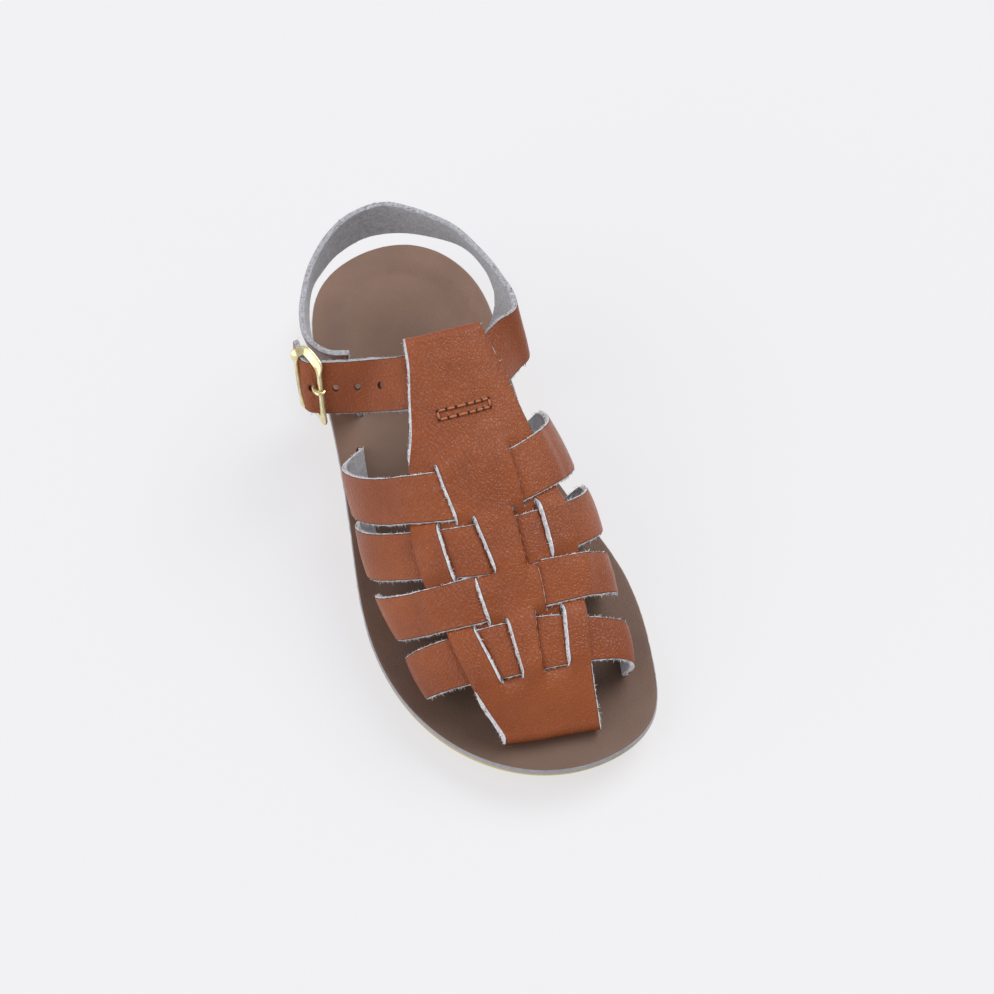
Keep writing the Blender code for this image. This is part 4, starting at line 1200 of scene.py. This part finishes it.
c_bar = (cb[0] + cb[1]) / 2
wrap = 0.75 + GAP + PRONG_R
path = [c_bar + np.array([math.cos(math.radians(w)), math.sin(math.radians(w)), 0]) * wrap for w in PRONG_WRAP]
path += [np.array(p) for p in PRONG_PATH]
path = smooth_through(path, 60)
radii = [PRONG_R * (1.0 if k < 45 else 1.0 - 0.28 * (k - 45) / 14) for k in range(60)]
m = Mesh()
m.add(*tube(path, radii, sides=14), 0)
prong_piece = m.make("brass_buckle_prong", [BRASS], sharp=60)
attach(prong_piece, "root")
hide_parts("buckle_prong")


# ------------------------------------------------------------------ sole and footbed
def ring_points(count, inset, fraction, height):
    ring = []
    for i in range(count):
        x, y = outline(i / count)
        xa, ya = outline((i + 0.05) / count)
        xb, yb = outline((i - 0.05) / count)
        n = unit(np.array([yb - ya, xa - xb, 0.0]))
        core_y = clamp(y, TOE_Y + 40, HEEL_Y - 29)
        side = 1.5 * math.sin(-2 * math.pi * i / count)
        core = np.array([middle(core_y) + side, core_y, 0.0])
        if core_y != y:
            core[1] += (-0.8 if y < 0 else 0.8) * (1 - abs(side) / 1.5)
        p = np.array([x, y, 0.0])
        if np.dot(n, core - p) < 0:
            n = -n
        p = p + n * inset
        p = p + (core - p) * fraction
        p[2] = height(p, fraction)
        ring.append(p)
    return ring


def ring_mesh(rings, mats_between, cap_mats):
    verts, faces, mats = [], [], []
    n = len(rings[0])
    for r in rings:
        verts.extend(r)
    for k in range(len(rings) - 1):
        for i in range(n):
            j = (i + 1) % n
            faces.append((k * n + i, k * n + j, (k + 1) * n + j, (k + 1) * n + i))
            mats.append(mats_between(k, verts[k * n + i]))
    for base, flip, mat in ((0, True, cap_mats[0]), ((len(rings) - 1) * n, False, cap_mats[1])):
        cap = [(base + 0, base + 1, base + n - 1)]
        for i in range(1, n // 2 - 1):
            cap.append((base + i, base + i + 1, base + n - i - 1, base + n - i))
        h = n // 2
        cap.append((base + h - 1, base + h, base + h + 1))
        faces.extend([tuple(reversed(f)) for f in cap] if flip else cap)
        mats.extend([mat] * len(cap))
    v = np.array(verts)
    total = 0.0
    for f in faces:
        for i in range(1, len(f) - 1):
            total += np.dot(v[f[0]], np.cross(v[f[i]], v[f[i + 1]]))
    if total < 0:
        faces = [tuple(reversed(f)) for f in faces]
    return verts, faces, mats


def bed_height(p, f):
    """Top of the footbed with its heel cup and faint hollows at heel and ball."""
    x, y = p[0], p[1]
    z = footbed_z(y, f)
    s = share(y)
    # cup wall at the back of the heel
    edge = math.hypot((x + 3.0) / 25.0, max(y - 84.0, 0) / 29.5) if y > 84 else abs(x + 3.0) / 26.5
    cup = ease((s - 0.60) / 0.2)
    z -= 0.65 * cup * (1 - ease((edge - 0.60) / 0.34))
    z -= 0.30 * ease((y - 92.0) / 9.0) * math.exp(-((edge - 0.74) / 0.07) ** 2)
    z += 0.15 * cup * math.exp(-((edge - 0.93) / 0.07) ** 2)
    ball = math.exp(-((x + 2) / 22) ** 2 - ((y + 18) / 26) ** 2)
    z -= 0.35 * ball
    return z + wobble(p, 16.0, 0.16) * ease(1 - edge * 0)


def footbed_piece():
    n = 336
    rings = [ring_points(n, 0.62, f, bed_height) for f in (1.0, 0.97, 0.93, *np.linspace(0.89, 0.03, 36))]
    rings.append(ring_points(n, 0.62, 0.0, bed_height))
    rings.append(ring_points(n, 0.30, 0.0, lambda p, f: bed_height(p, f) - 0.08))
    rings.append(ring_points(n, 0.10, 0.0, lambda p, f: bed_height(p, f) - 0.35))
    side_start = len(rings) - 1
    for drop in (0.9, 1.5, INSOLE_T - 0.15):
        rings.append([np.array([p[0], p[1], p[2]]) for p in ring_points(n, 0.0, 0.0, lambda p, f, d=drop: footbed_z(p[1], f) - d)])
    for ring in rings[side_start:]:
        for i, p in enumerate(ring):
            w = wobble(p * 1.0, 1.1, 0.16)
            d = unit(np.array([p[0] + 3, p[1] - 20 if abs(p[1] - 20) > 60 else 0.0, 0.0]))
            ring[i] = p + d * w
    rings.append(ring_points(n, 0.4, 0.0, lambda p, f: footbed_z(p[1], f) - INSOLE_T))
    rings += [ring_points(n, 0.4, f, lambda p, f: footbed_z(p[1], f) - INSOLE_T) for f in (0.1, 0.4, 0.8, 1.0)]
    verts, faces, mats = ring_mesh(rings, lambda k, v: 1 if k >= side_start - 1 else 0, (0, 2))
    m = Mesh()
    m.add(verts, faces, mats)
    return m.make("footbed", [BED, BED_EDGE, SPLIT, SLOT_SHADE], sharp=45)


bed = footbed_piece()

# slots that the straps pass through, with round ends; their cut walls take the painted slot shade
def slot_cutter():
    m = Mesh()

    def slot(p, q, width):
        p, q = np.array(p[:2], float), np.array(q[:2], float)
        d = unit(q - p)
        s = np.array([-d[1], d[0]])
        r = width / 2
        p, q = p + d * (r + 0.1), q - d * (r + 0.1)
        ring = []
        for c, w0 in ((q, 0), (p, math.pi)):
            for k in range(9):
                w = w0 - math.pi / 2 + math.pi * k / 8
                ring.append(c + (d * math.cos(w) + s * math.sin(w)) * r)
        n = len(ring)
        verts = [(*v, -12.0) for v in ring] + [(*v, 8.0) for v in ring]
        faces = [tuple(reversed(range(n))), tuple(range(n, 2 * n))] + [(i, (i + 1) % n, n + (i + 1) % n, n + i) for i in range(n)]
        m.add([np.array(v) for v in verts], faces, 0)

    for name in BANDS:
        rear, front = (table_curve(list(zip(BAND_COLUMNS, v))) for v in BANDS[name])
        for e, c in ((-45, 0), (225, 180)):
            off = np.array([-0.8 if e < 0 else 0.8, 0, 0])
            dr, df = slot_shift(name, e)
            slot(last(float(rear(c)[0]) + dr, e) + off, last(float(front(c)[0]) + df, e) + off, LEATHER + 0.3)
    e = plate_row(0.0)
    p0, p1 = (on_last(0.0, a, PLATE_MID) + toe_slant(0.0, a) for a in (e[0], e[5]))
    slot((p0[0], p0[1] + 3.0), (p1[0], p1[1] + 3.0), LEATHER + 0.4)
    for s0, s1, x0, y0, x1, y1 in LEGS:
        out = -0.8 if x0 > 0 else 0.8
        slot((x0 + out, y0), (x1 + out, y1), LEATHER + 0.4)
    ob = m.make("slot_cutter", [SLOT_SHADE])
    return ob


cutter = slot_cutter()
mod = bed.modifiers.new("slots", "BOOLEAN")
mod.operation = "DIFFERENCE"
mod.solver = "EXACT"
mod.object = cutter
mod.material_mode = "TRANSFER"
bpy.context.view_layer.update()
deps = bpy.context.evaluated_depsgraph_get()
cut = bpy.data.meshes.new_from_object(bed.evaluated_get(deps))
bed.modifiers.clear()
old = bed.data
bed.data = cut
bpy.data.meshes.remove(old)
bpy.data.objects.remove(cutter, do_unlink=True)
bed.data.shade_smooth()
bed.data.set_sharp_from_angle(angle=math.radians(40))
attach(bed, "root")
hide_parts("insole")


def top_of_sole(p, f):
    return footbed_z(p[1], f) - INSOLE_T - GAP


def worm(x, y):
    """Wrinkled crepe of the underside: 0 in the grooves, 1 on the lands."""
    wx = noise.noise(Vector((x * 0.23, y * 0.23, 3.1))) * 2.4
    wy = noise.noise(Vector((x * 0.23, y * 0.23, 9.7))) * 2.4
    v = noise.noise(Vector(((x + wx) * 0.44, (y + wy) * 0.36, 0.5)))
    v2 = noise.noise(Vector(((x - wy) * 0.95, (y + wx) * 0.85, 7.5)))
    return ease((abs(v + 0.35 * v2) - 0.02) / 0.20)


def sole_piece():
    n = 560
    rings = [ring_points(n, 0.4, f, top_of_sole) for f in (1.0, 0.6, 0.2)]
    rings.append(ring_points(n, 0.45, 0.0, top_of_sole))
    rings.append(ring_points(n, 0.12, 0.0, lambda p, f: top_of_sole(p, f) - 0.15))
    side = table_curve(SOLE_SIDE)

    def side_height(w):
        return lambda p, f: floor_z(p[1]) + (top_of_sole(p, 0.0) - 0.35 - floor_z(p[1])) * (1 - w) + wobble(p, 5.0, 0.06)
    for k in range(17):
        w = 1 - (1 - k / 16) ** 1.4
        rings.append(ring_points(n, float(side(w)[0]), 0.0, side_height(w)))
    low_in = SOLE_SIDE[-1][1]
    for f in np.linspace(0.014, 0.97, 54):
        rings.append(ring_points(n, low_in, f, lambda p, f: floor_z(p[1]) + 0.42 * (1 - worm(p[0], p[1])) * ease((f - 0.03) / 0.06)))
    rings.append(ring_points(n, low_in, 1.0, lambda p, f: floor_z(p[1]) + 0.42 * (1 - worm(p[0], p[1]))))
    verts, faces, mats = ring_mesh(rings, lambda k, v: 0, (0, 0))
    m = Mesh()
    m.add(verts, faces, mats)
    return m.make("crepe_sole", [RUBBER], sharp=50)


sole = sole_piece()
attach(sole, "root")
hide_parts("outsole")

# ------------------------------------------------------------------ floor, light and camera
floor_mat = bpy.data.materials.new("pale_floor")
floor_mat.use_nodes = True
fb_node = next(n for n in floor_mat.node_tree.nodes if n.type == "BSDF_PRINCIPLED")
fb_node.inputs["Base Color"].default_value = (0.24, 0.239, 0.244, 1)
fb_node.inputs["Roughness"].default_value = 1.0
fb_node.inputs["Specular IOR Level"].default_value = 0.0
# a backlit table: most of its light is its own, so shadows on it stay faint
fb_node.inputs["Emission Color"].default_value = (0.985, 0.975, 1.0, 1)
fb_node.inputs["Emission Strength"].default_value = 0.612
me = bpy.data.meshes.new("floor")
S = 6.0
me.from_pydata([(-S, -S, 0), (S, -S, 0), (S, S, 0), (-S, S, 0)], [], [(0, 1, 2, 3)])
me.materials.append(floor_mat)
floor = bpy.data.objects.new("floor", me)
bpy.context.scene.collection.objects.link(floor)

world = bpy.data.worlds.new("soft_studio")
bpy.context.scene.world = world
world.use_nodes = True
bg = next(n for n in world.node_tree.nodes if n.type == "BACKGROUND")
bg.inputs["Color"].default_value = (0.97, 0.975, 1.0, 1)
bg.inputs["Strength"].default_value = 0.56


def sun(name, direction, strength, angle, colour=(1, 1, 1)):
    light = bpy.data.lights.new(name, "SUN")
    light.energy = strength
    light.angle = math.radians(angle)
    light.color = colour
    ob = bpy.data.objects.new(name, light)
    ob.rotation_euler = Vector(direction).to_track_quat("Z", "Y").to_euler()
    bpy.context.scene.collection.objects.link(ob)
    return ob


sun("key", (0.52, 0.30, 0.80), 1.74, 42)
sun("fill", (-0.84, -0.12, 0.53), 1.18, 60)

cam_data = bpy.data.cameras.new("photo_camera")
cam_data.lens = 74.97
cam_data.sensor_width = 36.0
cam_data.sensor_fit = "HORIZONTAL"
cam_data.clip_start = 0.01
cam = bpy.data.objects.new("photo_camera", cam_data)
back = Vector((-0.14619, -0.47815, 0.86603)).normalized()
right = Vector((0.95630, -0.29237, 0.0)).normalized()
up = back.cross(right)
rot = Matrix((right, up, back)).transposed().to_4x4()
cam.matrix_world = Matrix.Translation(Vector((-0.07743, -0.29531, 0.53925))) @ rot
bpy.context.scene.collection.objects.link(cam)
bpy.context.scene.camera = cam
bpy.context.scene.view_settings.view_transform = "Standard"
bpy.context.scene.view_settings.look = "None"

bpy.context.view_layer.update()
